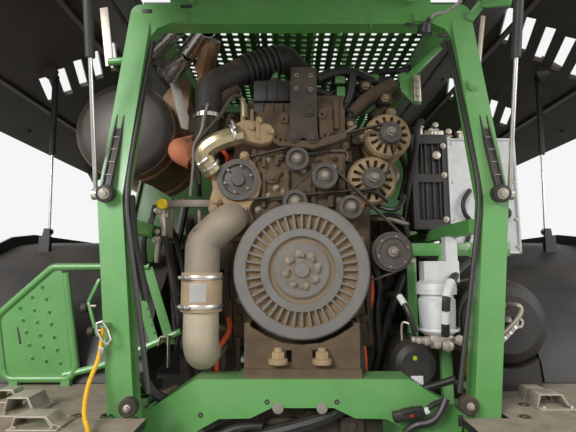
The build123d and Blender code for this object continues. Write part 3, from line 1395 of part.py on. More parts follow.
knot_r = 13.0
knot_l = 24.0
rope_end, way_out = Vector(*rope_path[-1]), Vector(*rope_path[-1]) - Vector(*rope_path[-2])
knot = Plane(origin=tuple(rope_end), z_dir=tuple(way_out)) * Pos(0, 0, knot_l / 2) * Cylinder(knot_r,
    knot_l)
knot = fillet(knot.edges(), 5)
rope_bends = easy_bends(rope_path)
save("pull_rope", pipe(rope_path, rope_r, rope_bends), knot)
print("Pull rope, bend radii:", ", ".join(f"{bend:.0f}" for bend in rope_bends), "mm")
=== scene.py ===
"""The looks of the forage harvester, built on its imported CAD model.

Metres. +Y is forward, +X is the machine's right, +Z is up. The camera stands behind the open engine bay.
"""

from itertools import product
from math import cos, pi, radians, sin

import bmesh
import bpy
from mathutils import Matrix, Vector
from mathutils.bvhtree import BVHTree


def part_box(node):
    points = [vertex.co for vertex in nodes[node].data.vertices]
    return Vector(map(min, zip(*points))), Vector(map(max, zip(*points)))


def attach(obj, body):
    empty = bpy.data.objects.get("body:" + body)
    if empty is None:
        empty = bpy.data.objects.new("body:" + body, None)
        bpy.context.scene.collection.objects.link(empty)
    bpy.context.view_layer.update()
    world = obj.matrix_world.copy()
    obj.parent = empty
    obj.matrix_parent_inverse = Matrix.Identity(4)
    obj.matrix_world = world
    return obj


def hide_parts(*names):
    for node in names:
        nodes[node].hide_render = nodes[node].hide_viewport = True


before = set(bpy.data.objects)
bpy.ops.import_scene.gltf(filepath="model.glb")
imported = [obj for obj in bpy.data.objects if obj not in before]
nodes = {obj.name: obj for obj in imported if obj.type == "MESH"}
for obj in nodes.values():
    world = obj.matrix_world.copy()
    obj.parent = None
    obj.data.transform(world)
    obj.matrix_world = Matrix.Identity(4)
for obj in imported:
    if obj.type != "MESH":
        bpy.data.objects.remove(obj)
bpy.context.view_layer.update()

# Places that the pieces below share, in metres
crank = Vector((0.0, -2.4, 1.6))
arch_foot = Vector((0.478, -2.52, 0.9))
arch_bend = Vector((0.578, -2.5, 1.812))
arch_top = Vector((0.572, -2.33, 2.51))
arch_half = 0.037
deck_top = 1.2
cover_y = -2.264

# The photograph's own camera, which also places what is known only from its pixel
eye = Vector((-0.045, -3.8, 1.6))
eye_pitch = radians(7.16)
eye_focus = 430.0


def seen(u, v, y):
    """The point of the cross plane y that shows at a pixel of the photograph."""
    across, up = (u - 288.0) / eye_focus, (216.0 - v) / eye_focus
    ray = Vector((across, cos(eye_pitch) - up * sin(eye_pitch), sin(eye_pitch) + up * cos(eye_pitch)))
    return eye + ray * ((y - eye.y) / ray.y)


def slid(u, v, y, front):
    """The point seen at a pixel of the cross plane y, slid along Y to front."""
    at = seen(u, v, y)
    return Vector((at.x, front, at.z))


# Shop helpers: nodes of a material


def linear(red, green, blue):
    """A colour read off a photograph, 0 to 255, as the linear colour that a shader takes."""
    made = []
    for part in (red, green, blue):
        c = part / 255
        made.append(c / 12.92 if c <= 0.04045 else ((c + 0.055) / 1.055) ** 2.4)
    return (*made, 1.0)


def add(tree, kind, inputs=None, **settings):
    """Adds a node, with its settings and with values or other nodes' outputs on its inputs."""
    made = tree.nodes.new(kind)
    for name, value in settings.items():
        setattr(made, name, value)
    for name, value in (inputs or {}).items():
        if isinstance(value, bpy.types.NodeSocket):
            tree.links.new(value, made.inputs[name])
        else:
            made.inputs[name].default_value = value
    return made


def noise(tree, place, scale, detail=4.0, rough=0.6):
    """A noise between 0 and 1."""
    inputs = {"Vector": place, "Scale": scale, "Detail": detail, "Roughness": rough}
    return add(tree, "ShaderNodeTexNoise", inputs).outputs["Fac"]


def between(tree, value, low, high, out_low=0.0, out_high=1.0):
    """Carries the range low to high over to the new range, and clips the rest."""
    inputs = {"Value": value, "From Min": low, "From Max": high, "To Min": out_low, "To Max": out_high}
    return add(tree, "ShaderNodeMapRange", inputs).outputs["Result"]


def maths(tree, operation, first, second=0.0):
    """One step of arithmetic, clipped to 0 and 1."""
    made = tree.nodes.new("ShaderNodeMath")
    made.operation = operation
    made.use_clamp = True
    for socket, value in zip(made.inputs, (first, second)):
        if isinstance(value, bpy.types.NodeSocket):
            tree.links.new(value, socket)
        else:
            socket.default_value = value
    return made.outputs[0]


def blended(tree, share, first, second):
    """A colour between two colours."""
    made = tree.nodes.new("ShaderNodeMix")
    made.data_type = "RGBA"
    for name, value in (("Factor", share), ("A", first), ("B", second)):
        socket = next(s for s in made.inputs if s.name == name and s.enabled)
        if isinstance(value, bpy.types.NodeSocket):
            tree.links.new(value, socket)
        else:
            socket.default_value = value
    return next(s for s in made.outputs if s.enabled)


def shaded(colour, share):
    """A darker or lighter tone of a colour."""
    return (*(min(1.0, c * share) for c in colour[:3]), 1.0)


field_dust = (150, 128, 98)


def pair(value, scale):
    """A strength with its scale; a bare strength takes the usual scale."""
    return value if isinstance(value, tuple) else (value, scale)


def coating(
    name, colour, rough, metal=0.0, tone=0.12, dust=0.0, crevice=0.0, grain=0.0, coat=0.0
):
    """A finish with uneven tone, dust that lies on what faces up and in the corners, and a fine grain.

    Colours are read off the photograph. Tone, crevice and grain may come with a scale, and dust with
    its scale and colour.
    """
    tone, tone_scale = pair(tone, 5.0)
    crevice, crevice_reach = pair(crevice, 0.035)
    grain, grain_scale = pair(grain, 260.0)
    dust, dust_scale, dust_colour = (*pair(dust, 9.0), field_dust)[:3]
    colour = linear(*colour)
    made = bpy.data.materials.new(name)
    made.use_nodes = True
    tree = made.node_tree
    shader = tree.nodes["Principled BSDF"]
    shader.inputs["Metallic"].default_value = metal
    if coat:
        shader.inputs["Coat Weight"].default_value = coat
        shader.inputs["Coat Roughness"].default_value = 0.12
    place = add(tree, "ShaderNodeTexCoord").outputs["Object"]
    cloudy = noise(tree, place, tone_scale, 5.0, 0.62)
    share = between(tree, cloudy, 0.3, 0.7)
    top = blended(tree, share, shaded(colour, 1 - tone), shaded(colour, 1 + tone))
    fine = noise(tree, place, grain_scale, 3.0, 0.6)
    roughness = between(tree, cloudy, 0.3, 0.7, max(0.03, rough - 0.07), min(1.0, rough + 0.07))
    if dust or crevice:
        normal = add(tree, "ShaderNodeNewGeometry").outputs["Normal"]
        facing = add(tree, "ShaderNodeSeparateXYZ", {"Vector": normal})
        lying = between(tree, facing.outputs["Z"], -0.2, 0.95, 0.16, 1.0)
        patches = between(tree, noise(tree, place, dust_scale, 8.0, 0.68), 0.34, 0.66)
        mask = maths(tree, "MULTIPLY", maths(tree, "MULTIPLY", lying, patches), dust)
        if crevice:
            inputs = {"Distance": crevice_reach}
            open_air = add(tree, "ShaderNodeAmbientOcclusion", inputs, samples=6).outputs["AO"]
            corner = maths(tree, "MULTIPLY", between(tree, open_air, 0.92, 0.35), crevice)
            mask = maths(tree, "ADD", mask, corner)
        top = blended(tree, mask, top, linear(*dust_colour))
        roughness = maths(tree, "MAXIMUM", roughness, between(tree, mask, 0.0, 0.7, rough, 0.93))
        if metal:
            tree.links.new(between(tree, mask, 0.0, 0.6, metal, 0.0), shader.inputs["Metallic"])
    tree.links.new(top, shader.inputs["Base Color"])
    tree.links.new(roughness, shader.inputs["Roughness"])
    if grain:
        bump = add(tree, "ShaderNodeBump", {"Height": fine, "Strength": grain, "Distance": 0.0015})
        tree.links.new(bump.outputs["Normal"], shader.inputs["Normal"])
    return made


# Finishes
green_paint = coating(
    "green_paint", (84, 146, 74), 0.32, tone=(0.14, 3.0), dust=(0.5, 5.0, (142, 162, 120)), crevice=0.25,
    grain=(0.05, 90.0), coat=0.4,
)
# The green paint made about half as dark: its own colour with painted shade, for the bay roof, its
# stiffeners and flange and the plate inside the bay, which sit in shade
sheet_green_painted_shade = coating(
    "sheet_green_painted_shade", (40, 84, 34), 0.42, tone=0.16, dust=0.25, grain=(0.05, 120.0),
)
engine_cast = coating(
    "engine_cast", (78, 64, 48), 0.78, metal=0.15, tone=(0.36, 14.0), dust=(0.6, 16.0, (126, 104, 76)),
    crevice=0.35, grain=(0.6, 420.0),
)
engine_dark = coating(
    "engine_dark", (52, 45, 38), 0.72, tone=(0.35, 18.0), dust=(0.5, 18.0, (120, 100, 76)),
    grain=(0.5, 420.0),
)
damper_iron = coating(
    "damper_iron", (108, 106, 103), 0.62, metal=0.35, tone=(0.14, 12.0), dust=(0.35, 9.0, (134, 112, 80)),
    crevice=(0.95, 0.028), grain=(0.7, 700.0),
)
worn_steel = coating(
    "worn_steel", (128, 120, 110), 0.5, metal=0.6, tone=(0.2, 25.0), dust=0.45, crevice=0.5,
    grain=(0.4, 500.0),
)
cast_aluminium = coating(
    "cast_aluminium", (136, 126, 112), 0.5, metal=0.5, tone=(0.2, 10.0), dust=(0.5, 9.0, (158, 138, 106)),
    crevice=0.3, grain=(0.9, 520.0),
)
zinc_steel = coating(
    "zinc_steel", (176, 168, 156), 0.36, metal=0.8, tone=(0.12, 20.0), dust=(0.5, 9.0, (186, 164, 132)),
    grain=(0.15, 300.0),
)
bright_steel = coating(
    "bright_steel", (200, 196, 190), 0.22, metal=0.95, tone=0.08, dust=0.25,
)
black_satin = coating(
    "black_satin", (38, 37, 37), 0.48, tone=(0.22, 7.0), dust=(0.35, 9.0, (116, 102, 84)),
    grain=(0.25, 340.0),
)
panel_black = coating(
    "panel_black", (58, 54, 49), 0.52, tone=(0.25, 4.0), dust=(0.55, 5.0, (112, 94, 74)),
    grain=(0.3, 300.0),
)
black_rubber = coating(
    "black_rubber", (26, 26, 27), 0.62, tone=(0.2, 30.0), dust=(0.35, 22.0), grain=(0.2, 380.0),
)
tyre_rubber = coating(
    "tyre_rubber", (42, 41, 40), 0.82, tone=(0.2, 8.0), dust=(0.75, 6.0, (138, 120, 94)),
    crevice=(0.45, 0.06), grain=(0.5, 240.0),
)
rim_yellow = coating(
    "rim_yellow", (226, 176, 26), 0.38, tone=0.07, dust=0.35, crevice=0.35, grain=0.05, coat=0.3,
)
pale_sheet = coating(
    "pale_sheet", (202, 203, 202), 0.45, metal=0.2, tone=(0.1, 26.0), dust=(0.3, 9.0, (160, 150, 132)),
    grain=(0.3, 330.0),
)
wrap_orange = coating(
    "wrap_orange", (178, 106, 74), 0.75, tone=(0.14, 9.0), dust=0.25, grain=(0.5, 240.0),
)
conduit_orange = coating("conduit_orange", (222, 84, 30), 0.5, tone=0.1, dust=0.2)
safety_yellow = coating("safety_yellow", (238, 204, 24), 0.4, tone=0.05, dust=0.15)
label_white = coating("label_white", (214, 214, 210), 0.55, tone=0.04, dust=0.12)
seat_fabric = coating("seat_fabric", (44, 44, 48), 0.9, tone=(0.12, 30.0), dust=0.1, grain=(0.9, 900.0))

sleeve_tan = coating("sleeve_tan", (158, 136, 108), 0.6, tone=(0.14, 16.0), dust=0.3, grain=(0.3, 260.0))
elbow_tan = coating(
    "elbow_tan", (178, 166, 144), 0.5, metal=0.3, tone=(0.12, 9.0), dust=(0.4, 9.0, (150, 128, 96)),
    crevice=0.3, grain=(0.7, 520.0),
)
silver_pipe = coating(
    "silver_pipe", (176, 162, 130), 0.3, metal=0.85, tone=(0.16, 12.0), dust=(0.35, 9.0, (140, 120, 86)),
    grain=(0.1, 300.0),
)
canister_end = coating(
    "canister_end", (66, 61, 57), 0.42, metal=0.5, tone=(0.3, 4.0), dust=(0.3, 3.0, (104, 88, 70)),
    grain=(0.15, 200.0),
)
# The canister's own tan-brown, painted lighter to stand in for light that its shaded underside does not
# get; the stack elbow takes it too
canister_tan_with_painted_light = coating(
    "canister_tan_with_painted_light", (150, 116, 84), 0.45, metal=0.3, tone=(0.45, 3.5), dust=(0.45, 3.0, (128, 98, 68)),
    grain=(0.2, 200.0),
)
canister_rim = coating("canister_rim", (150, 128, 104), 0.38, metal=0.7, tone=(0.2, 8.0), dust=0.3)
deck_grain = coating(
    "deck_grain", (132, 122, 108), 0.7, tone=(0.22, 26.0), dust=(0.7, 18.0, (168, 154, 132)),
    grain=(1.0, 150.0),
)
fender_black = coating(
    "fender_black", (30, 30, 32), 0.42, tone=(0.25, 3.0), dust=(0.4, 4.0, (100, 90, 76)),
    grain=(0.3, 260.0),
)
belt_rubber = coating("belt_rubber", (46, 40, 33), 0.7, tone=(0.3, 40.0), dust=0.4, grain=(0.3, 400.0))
pulley_grey = coating(
    "pulley_grey", (72, 69, 66), 0.5, metal=0.4, tone=(0.16, 30.0), dust=(0.35, 9.0, (110, 94, 72)),
    crevice=(0.6, 0.012), grain=(0.2, 500.0),
)
alternator_tan = coating(
    "alternator_tan", (150, 130, 100), 0.6, metal=0.4, tone=(0.25, 20.0), dust=(0.45, 9.0, (160, 136, 100)),
    crevice=(0.9, 0.02), grain=(0.5, 420.0),
)
hose_black = coating(
    "hose_black", (30, 29, 29), 0.4, tone=(0.2, 14.0), dust=(0.3, 9.0, (94, 80, 62)), grain=(0.15, 300.0),
)
cable_grey = coating("cable_grey", (128, 124, 114), 0.5, tone=(0.15, 20.0), dust=0.3)
dusty_tan = coating(
    "dusty_tan", (150, 126, 94), 0.8, tone=(0.2, 20.0), dust=0.4, grain=(0.5, 420.0),
)
amber_lens = coating("amber_lens", (214, 110, 14), 0.18, tone=0.08, dust=0.1, coat=0.6)
red_lens = coating("red_lens", (150, 18, 16), 0.18, tone=0.08, dust=0.1, coat=0.6)

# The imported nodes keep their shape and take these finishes
node_finishes = [
    (green_paint, ("front_axle", "rear_arch", "engine_cross_beam", "bay_guard", "bay_frame", "main_frame",
                   "rear_axle_beam", "left_knuckle", "right_knuckle", "mid_body", "cab_shell", "feed_house",
                   "crop_channel", "spout_turret", "spout_arm", "spout_flap", "cab_door", "cab_roof")),
    (sheet_green_painted_shade, ("bay_roof",)),
    (engine_cast, ("engine_block",)),
    (damper_iron, ("crank_damper",)),
    (worn_steel, ("belt_drive", "engine_accessories", "feed_roll_upper", "feed_roll_lower")),
    (black_rubber, ("intake_duct",)),
    (black_satin, ("air_tanks", "access_platforms", "rear_fenders", "tie_rod", "hatch_strut_barrels",
                   "left_strut_barrel", "right_strut_barrel", "spout_lift_barrel", "lamps_and_mirrors",
                   "fuel_tanks")),
    (bright_steel, ("hatch_strut_rods", "left_strut_rod", "right_strut_rod", "spout_lift_rod")),
    (panel_black, ("side_panel_left", "side_panel_right", "rear_hatch")),
    (pale_sheet, ("side_cooler", "air_dryer")),
    (tyre_rubber, ("front_left_tyre", "front_right_tyre", "rear_left_tyre", "rear_right_tyre")),
    (rim_yellow, ("front_left_rim", "front_right_rim", "rear_left_rim", "rear_right_rim")),
    (seat_fabric, ("cab_interior",)),
]
for finish, names in node_finishes:
    for name in names:
        nodes[name].data.materials.clear()
        nodes[name].data.materials.append(finish)

glass = bpy.data.materials.new("cab_glass")
glass.use_nodes = True
glass_shader = glass.node_tree.nodes["Principled BSDF"]
glass_shader.inputs["Transmission Weight"].default_value = 0.92
glass_shader.inputs["IOR"].default_value = 1.45
glass_place = add(glass.node_tree, "ShaderNodeTexCoord").outputs["Object"]
glass_dirt = between(
    glass.node_tree, noise(glass.node_tree, glass_place, 4.0, 6.0, 0.7), 0.4, 0.75, 0.03, 0.22,
)
glass.node_tree.links.new(glass_dirt, glass_shader.inputs["Roughness"])
glass_tint = blended(glass.node_tree, glass_dirt, linear(206, 226, 216), linear(170, 180, 160))
glass.node_tree.links.new(glass_tint, glass_shader.inputs["Base Color"])
nodes["cab_glass"].data.materials.clear()
nodes["cab_glass"].data.materials.append(glass)

# Camera behind the bay, close to the deck, tipped up
camera_data = bpy.data.cameras.new("camera")
camera_data.sensor_width = 36.0
camera_data.lens = eye_focus / 576.0 * 36.0
camera_data.clip_start = 0.02
camera_data.clip_end = 200.0
camera = bpy.data.objects.new("camera", camera_data)
camera.location = eye
camera.rotation_euler = (radians(90.0) + eye_pitch, 0.0, 0.0)
bpy.context.scene.collection.objects.link(camera)
bpy.context.scene.camera = camera
bpy.context.scene.view_settings.view_transform = "Standard"

# Pale floor, pale backdrop and soft lamps


def backdrop_material(name, seen, lit):
    """A plain surface that takes the object's shadow, or shows a plain pale colour to the camera."""
    made = bpy.data.materials.new(name)
    made.use_nodes = True
    shader = made.node_tree.nodes["Principled BSDF"]
    shader.inputs["Base Color"].default_value = lit
    shader.inputs["Roughness"].default_value = 0.9
    shader.inputs["Emission Color"].default_value = seen
    return made


floor_bm = bmesh.new()
bmesh.ops.create_grid(floor_bm, x_segments=1, y_segments=1, size=60.0)
floor_mesh = bpy.data.meshes.new("floor")
floor_bm.to_mesh(floor_mesh)
floor_bm.free()
floor = bpy.data.objects.new("floor", floor_mesh)
floor.data.materials.append(backdrop_material("floor", linear(225, 225, 225), linear(206, 204, 200)))
bpy.context.scene.collection.objects.link(floor)

world = bpy.data.worlds.new("studio")
bpy.context.scene.world = world
world.use_nodes = True
sky = world.node_tree
background = sky.nodes["Background"]
background.inputs["Color"].default_value = (1.0, 1.0, 1.0, 1.0)
path = add(sky, "ShaderNodeLightPath")
direct = maths(sky, "MAXIMUM", path.outputs["Is Camera Ray"], path.outputs["Is Transmission Ray"])
seen_directly = maths(sky, "MAXIMUM", direct, path.outputs["Is Glossy Ray"])
sky.links.new(between(sky, seen_directly, 0.0, 1.0, 0.36, 0.92), background.inputs["Strength"])


def soft_lamp(name, at, towards, size, power):
    """A large square lamp that looks at a point."""
    data = bpy.data.lights.new(name, "AREA")
    data.shape = "SQUARE"
    data.size = size
    data.energy = power
    lamp = bpy.data.objects.new(name, data)
    lamp.location = at
    lamp.rotation_mode = "QUATERNION"
    lamp.rotation_quaternion = (Vector(towards) - Vector(at)).to_track_quat("-Z", "Y")
    bpy.context.scene.collection.objects.link(lamp)


soft_lamp("key", (-4.5, -9.0, 5.5), (0.0, -2.3, 1.7), 3.5, 720.0)
soft_lamp("fill", (6.5, -7.0, 4.0), (0.0, -1.5, 1.6), 4.0, 230.0)
soft_lamp("top", (0.0, 1.5, 11.0), (0.0, 0.0, 2.0), 8.0, 480.0)
soft_lamp("front", (2.0, 11.0, 5.0), (0.0, 2.0, 1.5), 5.0, 360.0)

# Shop helpers: shapes


def broken(bm, edges, width):
    """Takes the sharpness off edges with two narrow facets."""
    bmesh.ops.bevel(
        bm, geom=list(edges), offset=width, affect="EDGES", segments=2, profile=0.5, material=-1,
        clamp_overlap=True
    )


def slab(bm, low, high, bevel=0.0):
    """A box between two corners, with its edges broken."""
    low, high = Vector(low), Vector(high)
    size = high - low
    place = Matrix.Translation((low + high) / 2) @ Matrix.Diagonal((*size, 1.0))
    made = bmesh.ops.create_cube(bm, size=1.0, matrix=place)["verts"]
    if bevel:
        broken(bm, {e for v in made for e in v.link_edges}, bevel)
    return made


def along(start, end):
    """The turn and place that carry a shape standing on its own Z from start towards end."""
    start, end = Vector(start), Vector(end)
    turn = (end - start).to_track_quat("Z", "Y").to_matrix().to_4x4()
    return Matrix.Translation((start + end) / 2) @ turn


def round_bar(bm, start, end, radius, sides=20, bevel=0.0, end_radius=None):
    """A round bar, cone or hexagon between two points."""
    length = (Vector(end) - Vector(start)).length
    made = bmesh.ops.create_cone(
        bm, cap_ends=True, segments=sides, radius1=radius,
        radius2=radius if end_radius is None else end_radius, depth=length, matrix=along(start, end),
    )["verts"]
    if bevel:
        edges = {e for v in made for e in v.link_edges}
        broken(bm, [e for e in edges if any(len(f.verts) == sides for f in e.link_faces)], bevel)
    return made


def stud(bm, at, out, radius, sides=20, bevel=0.0, back=0.0):
    """A round bar or hexagon that stands out of a point towards the camera, from back to out."""
    round_bar(bm, at + Vector((0, back, 0)), at + Vector((0, -out, 0)), radius, sides, bevel)


def strap(bm, start, end, width, thick, bevel=0.0015, face=(0, -1, 0)):
    """A flat bar between two points, with its broad side turned to a direction."""
    start, end = Vector(start), Vector(end)
    way = (end - start).normalized()
    cross = way.cross(Vector(face)).normalized()
    turn = Matrix((cross, way.cross(cross), way)).transposed().to_4x4()
    size = Matrix.Diagonal((width, thick, (end - start).length, 1.0))
    place = Matrix.Translation((start + end) / 2) @ turn @ size
    made = bmesh.ops.create_cube(bm, size=1.0, matrix=place)["verts"]
    if bevel:
        broken(bm, {e for v in made for e in v.link_edges}, bevel)


def mirrored(low, high):
    """A box at the right and its mirror image at the left, the left one first, as pairs of corners."""
    return ((-high[0], *low[1:]), (-low[0], *high[1:])), (low, high)


def pane(bm, pixels, y, front, back, bevel=0.0):
    """A slab that fills the pixels u0, v0 to u1, v1 of the cross plane y, from front to back along Y."""
    u0, v0, u1, v1 = pixels
    a, b = seen(u0, v1, y), seen(u1, v0, y)
    slab(bm, (a.x, front, a.z), (b.x, back, b.z), bevel)


def band(low, high, inner, outer):
    """The outline of a plain ring, for the lathe."""
    return [(low, inner), (low, outer), (high, outer), (high, inner)]


def lathe(bm, outline, centre, way, sides=40):
    """An (along, radius) outline spun about a line through centre; a closed outline makes a solid ring."""
    way = Vector(way).normalized()
    side = way.orthogonal().normalized()
    centre = Vector(centre)
    ring = [bm.verts.new(centre + way * a + side * r) for a, r in outline]
    edges = [bm.edges.new(pair) for pair in zip(ring, ring[1:] + ring[:1])]
    bmesh.ops.spin(
        bm, geom=ring + edges, cent=centre, axis=way, dvec=(0, 0, 0), angle=2 * pi, steps=sides,
        use_merge=True,
        use_normal_flip=False, use_duplicate=False,
    )


def plate(bm, outline, depth, bevel=0.0):
    """A flat outline of points in space, given thickness by the vector depth."""
    face = bm.faces.new([bm.verts.new(Vector(p)) for p in outline])
    grown = bmesh.ops.extrude_face_region(bm, geom=[face])["geom"]
    moved = [g for g in grown if isinstance(g, bmesh.types.BMVert)]
    bmesh.ops.translate(bm, verts=moved, vec=Vector(depth))
    if bevel:
        broken(bm, {e for v in moved for e in v.link_edges} | set(face.edges), bevel)


def bolt(bm, at, head_r=0.011, head_h=0.009, washer=1.5, way=(0, -1, 0)):
    """A hexagon head on its washer, standing on a surface at a point."""
    at, way = Vector(at), Vector(way).normalized()
    if washer:
        round_bar(bm, at, at + way * 0.003, head_r * washer, 16)
    round_bar(bm, at, at + way * (head_h + 0.003), head_r, 6, 0.001)


def finished(bm, name, finish, body="chassis", sharp=35.0):
    """Closes a piece: merged, faces outwards, smooth except at its edges, painted and riding on its body.

    The finish may be a list, which the faces' own numbers pick from.
    """
    bmesh.ops.remove_doubles(bm, verts=bm.verts, dist=0.00001)
    bmesh.ops.recalc_face_normals(bm, faces=bm.faces)
    for face in bm.faces:
        face.smooth = True
    for edge in bm.edges:
        edge.smooth = len(edge.link_faces) == 2 and edge.calc_face_angle(0.0) < radians(sharp)
    mesh = bpy.data.meshes.new(name)
    bm.to_mesh(mesh)
    bm.free()
    made = bpy.data.objects.new(name, mesh)
    bpy.context.scene.collection.objects.link(made)
    for paint in finish if isinstance(finish, list) else [finish]:
        mesh.materials.append(paint)
    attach(made, body)
    return made


def flowing(points, radius, resolution=6):
    """A smooth line through the pull of its points, as a curve object with a round section."""
    data = bpy.data.curves.new("line", "CURVE")
    data.dimensions = "3D"
    data.bevel_depth = radius
    data.bevel_resolution = 3
    data.use_fill_caps = True
    spline = data.splines.new("NURBS")
    spline.points.add(len(points) - 1)
    for target, p in zip(spline.points, points):
        target.co = (*p, 1.0)
    spline.order_u = 3
    spline.use_endpoint_u = True
    spline.resolution_u = resolution
    return bpy.data.objects.new("line", data)


def placed(points):
    """Points given as Vectors in metres, or as pixels with their cross plane: u, v, y."""
    return [p if isinstance(p, Vector) else seen(*p) for p in points]


def hoses(name, finish, runs):
    """Several pipes or hoses as one piece; each run is its radius and its points."""
    bm = bmesh.new()
    for radius, points in runs:
        line = flowing(placed(points), radius)
        mesh = bpy.data.meshes.new_from_object(line)
        bm.from_mesh(mesh)
        bpy.data.meshes.remove(mesh)
        bpy.data.objects.remove(line)
    return finished(bm, name, finish)


def dressed(node, name, finish, tones=(), bevel=0.0, body="chassis"):
    """A node's own shape as a piece that stands for it, with another finish inside each box of tones."""
    bm = bmesh.new()
    bm.from_mesh(nodes[node].data)
    bmesh.ops.remove_doubles(bm, verts=bm.verts, dist=0.00001)
    bmesh.ops.dissolve_limit(bm, angle_limit=radians(0.6), verts=bm.verts, edges=bm.edges)
    for face in bm.faces:
        middle = face.calc_center_median()
        for number, (_, low, high) in enumerate(tones, 1):
            if all(a <= m <= b for a, m, b in zip(low, middle, high)):
                face.material_index = number
    made = finished(bm, name, [finish] + [tone[0] for tone in tones], body)
    if bevel:
        edges = made.modifiers.new("broken_edges", "BEVEL")
        edges.width = bevel
        edges.segments = 2
        edges.limit_method = "ANGLE"
        edges.angle_limit = radians(40.0)
        edges.use_clamp_overlap = True
        edges.harden_normals = False
    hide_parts(node)
    return made


def outlined(pixels, y):
    """The outline that the photograph shows, on the cross plane y."""
    return [seen(u, v, y) for u, v in pixels]


def clamp(bm, centre, way, radius, width=0.014, knob=None):
    """A worm clamp round a hose, with its screw box on the side that the knob points to."""
    centre, way = Vector(centre), Vector(way).normalized()
    half = width / 2
    outline = [(-half, radius), (-half, radius + 0.002), (-half + 0.002, radius + 0.003),
               (half - 0.002, radius + 0.003), (half, radius + 0.002), (half, radius)]
    lathe(bm, outline, centre, way, 32)
    if knob is not None:
        knob = Vector(knob).normalized()
        cross = way.cross(knob).normalized()
        at = centre + knob * (radius + 0.009)
        round_bar(bm, at - cross * 0.018, at + cross * 0.018, 0.0075, 12, 0.001)
        round_bar(bm, at + cross * 0.018, at + cross * 0.027, 0.0055, 6, 0.0008)


def stations(points, gap, resolution=24):
    """Evenly spaced points and directions along the smooth line that the points pull."""
    line = flowing(points, 0.0, resolution)
    mesh = bpy.data.meshes.new_from_object(line)
    spots = [v.co.copy() for v in mesh.vertices]
    bpy.data.meshes.remove(mesh)
    bpy.data.objects.remove(line)
    made = []
    left = 0.0
    for a, b in zip(spots, spots[1:]):
        step = (b - a).length
        while left <= step and step > 0:
            made.append((a.lerp(b, left / step), (b - a).normalized()))
            left += gap
        left -= step
    return made


def ribbed(bm, points, radius, pitch, depth, sides=20):
    """A corrugated hose: rings of two sizes by turns along a smooth line, bridged into one skin."""
    rings = []
    for number, (at, way) in enumerate(stations(placed(points), pitch / 2)):
        size = radius if number % 2 else radius - depth
        place = Matrix.Translation(at) @ way.to_track_quat("Z", "Y").to_matrix().to_4x4()
        verts = bmesh.ops.create_circle(bm, cap_ends=False, segments=sides, radius=size,
            matrix=place)["verts"]
        rings.append(list({e for v in verts for e in v.link_edges}))
    for first, second in zip(rings, rings[1:]):
        bmesh.ops.bridge_loops(bm, edges=first + second)
    for end in (rings[0], rings[-1]):
        bmesh.ops.edgeloop_fill(bm, edges=end)


# Coolant pipe, turbo and exhaust in the tones of the photograph
dressed("coolant_pipe", "coolant_pipe_casting", cast_aluminium, [
    (sleeve_tan, (-0.42, -2.48, 1.468), (-0.22, -2.3, 1.594)),
    (elbow_tan, (-0.5, -2.6, 1.2), (-0.1, -1.9, 1.468)),
])
dressed(
    "turbocharger", "turbo_and_wrap", wrap_orange,
    [(engine_dark, (-0.42, -2.3, 2.0), (-0.28, -2.11, 2.2))],
)
dressed("exhaust_canister", "exhaust_silencer", canister_tan_with_painted_light, [
    (canister_end, (-1.1, -1.93, 1.9), (-0.5, -1.868, 2.6)),
    (canister_rim, (-1.1, -1.868, 1.9), (-0.5, -1.836, 2.6)),
])
sleeve_x, sleeve_y, sleeve_r = -0.322, -2.4, 0.065
bm = bmesh.new()
for z in (1.576, 1.486):
    clamp(bm, (sleeve_x, sleeve_y, z), (0, 0, 1), sleeve_r + 0.0002, 0.014, (-0.8, -1, 0))
finished(bm, "coolant_sleeve_clamps", bright_steel)
bm = bmesh.new()
label_r = sleeve_r + 0.0006
for v in bmesh.ops.create_grid(bm, x_segments=6, y_segments=1, size=0.5)["verts"]:
    turn = radians(-90.0 + v.co.x * 46.0)
    v.co = Vector((sleeve_x + label_r * cos(turn), sleeve_y + label_r * sin(turn), 1.531 + v.co.y * 0.056))
bmesh.ops.solidify(bm, geom=bm.faces[:], thickness=0.0006)
finished(bm, "blank_sleeve_label", label_white)
bm = bmesh.new()
round_bar(bm, seen(190, 243, -2.43), seen(196, 240, -2.39), 0.019, 6, 0.002)
round_bar(bm, seen(197, 233, -2.44), seen(201, 231, -2.39), 0.013, 14, 0.002)
slab(bm, seen(208, 232, -2.41), seen(216, 226, -2.345), 0.003)
finished(bm, "coolant_sensors", engine_dark)
bm = bmesh.new()
for u, v in ((216, 216), (207, 235), (228, 214), (246, 222)):
    at = slid(u, v, -2.3, cover_y - 0.022)
    bolt(bm, at, 0.012, 0.01)
    round_bar(bm, at, at + Vector((0, 0.072, 0)), 0.016, 16, 0.002)
round_bar(bm, seen(216, 216, -2.29), seen(238, 209, -2.29), 0.01, 12)
finished(bm, "coolant_elbow_bolts", dusty_tan)

# Casting round the pump pulley, with its lobes and bolts
bm = bmesh.new()
ring = [
    (214.7, 165), (221, 168), (228, 163), (240, 161), (243, 155), (248, 155), (251, 161), (259, 172),
    (262, 183), (259, 196), (251, 206), (249, 214), (243, 215), (238, 207), (228, 206), (222, 204),
    (219, 214), (211, 214), (211, 200), (214, 190), (211, 172),
]
plate(bm, outlined(ring, cover_y - 0.001), (0, -0.026, 0), 0.004)
pump_bolts = ((214.7, 170.7), (217.8, 202.9), (214.7, 210.5), (245.3, 158.5), (245.8, 210.5))
for u, v in pump_bolts:
    stud(bm, slid(u, v, cover_y, cover_y - 0.026), 0.01, 0.017, 16, 0.002)
finished(bm, "pump_casting", dusty_tan)
bm = bmesh.new()
for u, v in pump_bolts:
    bolt(bm, slid(u, v, cover_y, cover_y - 0.036), 0.011, 0.01)
finished(bm, "pump_casting_bolts", dusty_tan)

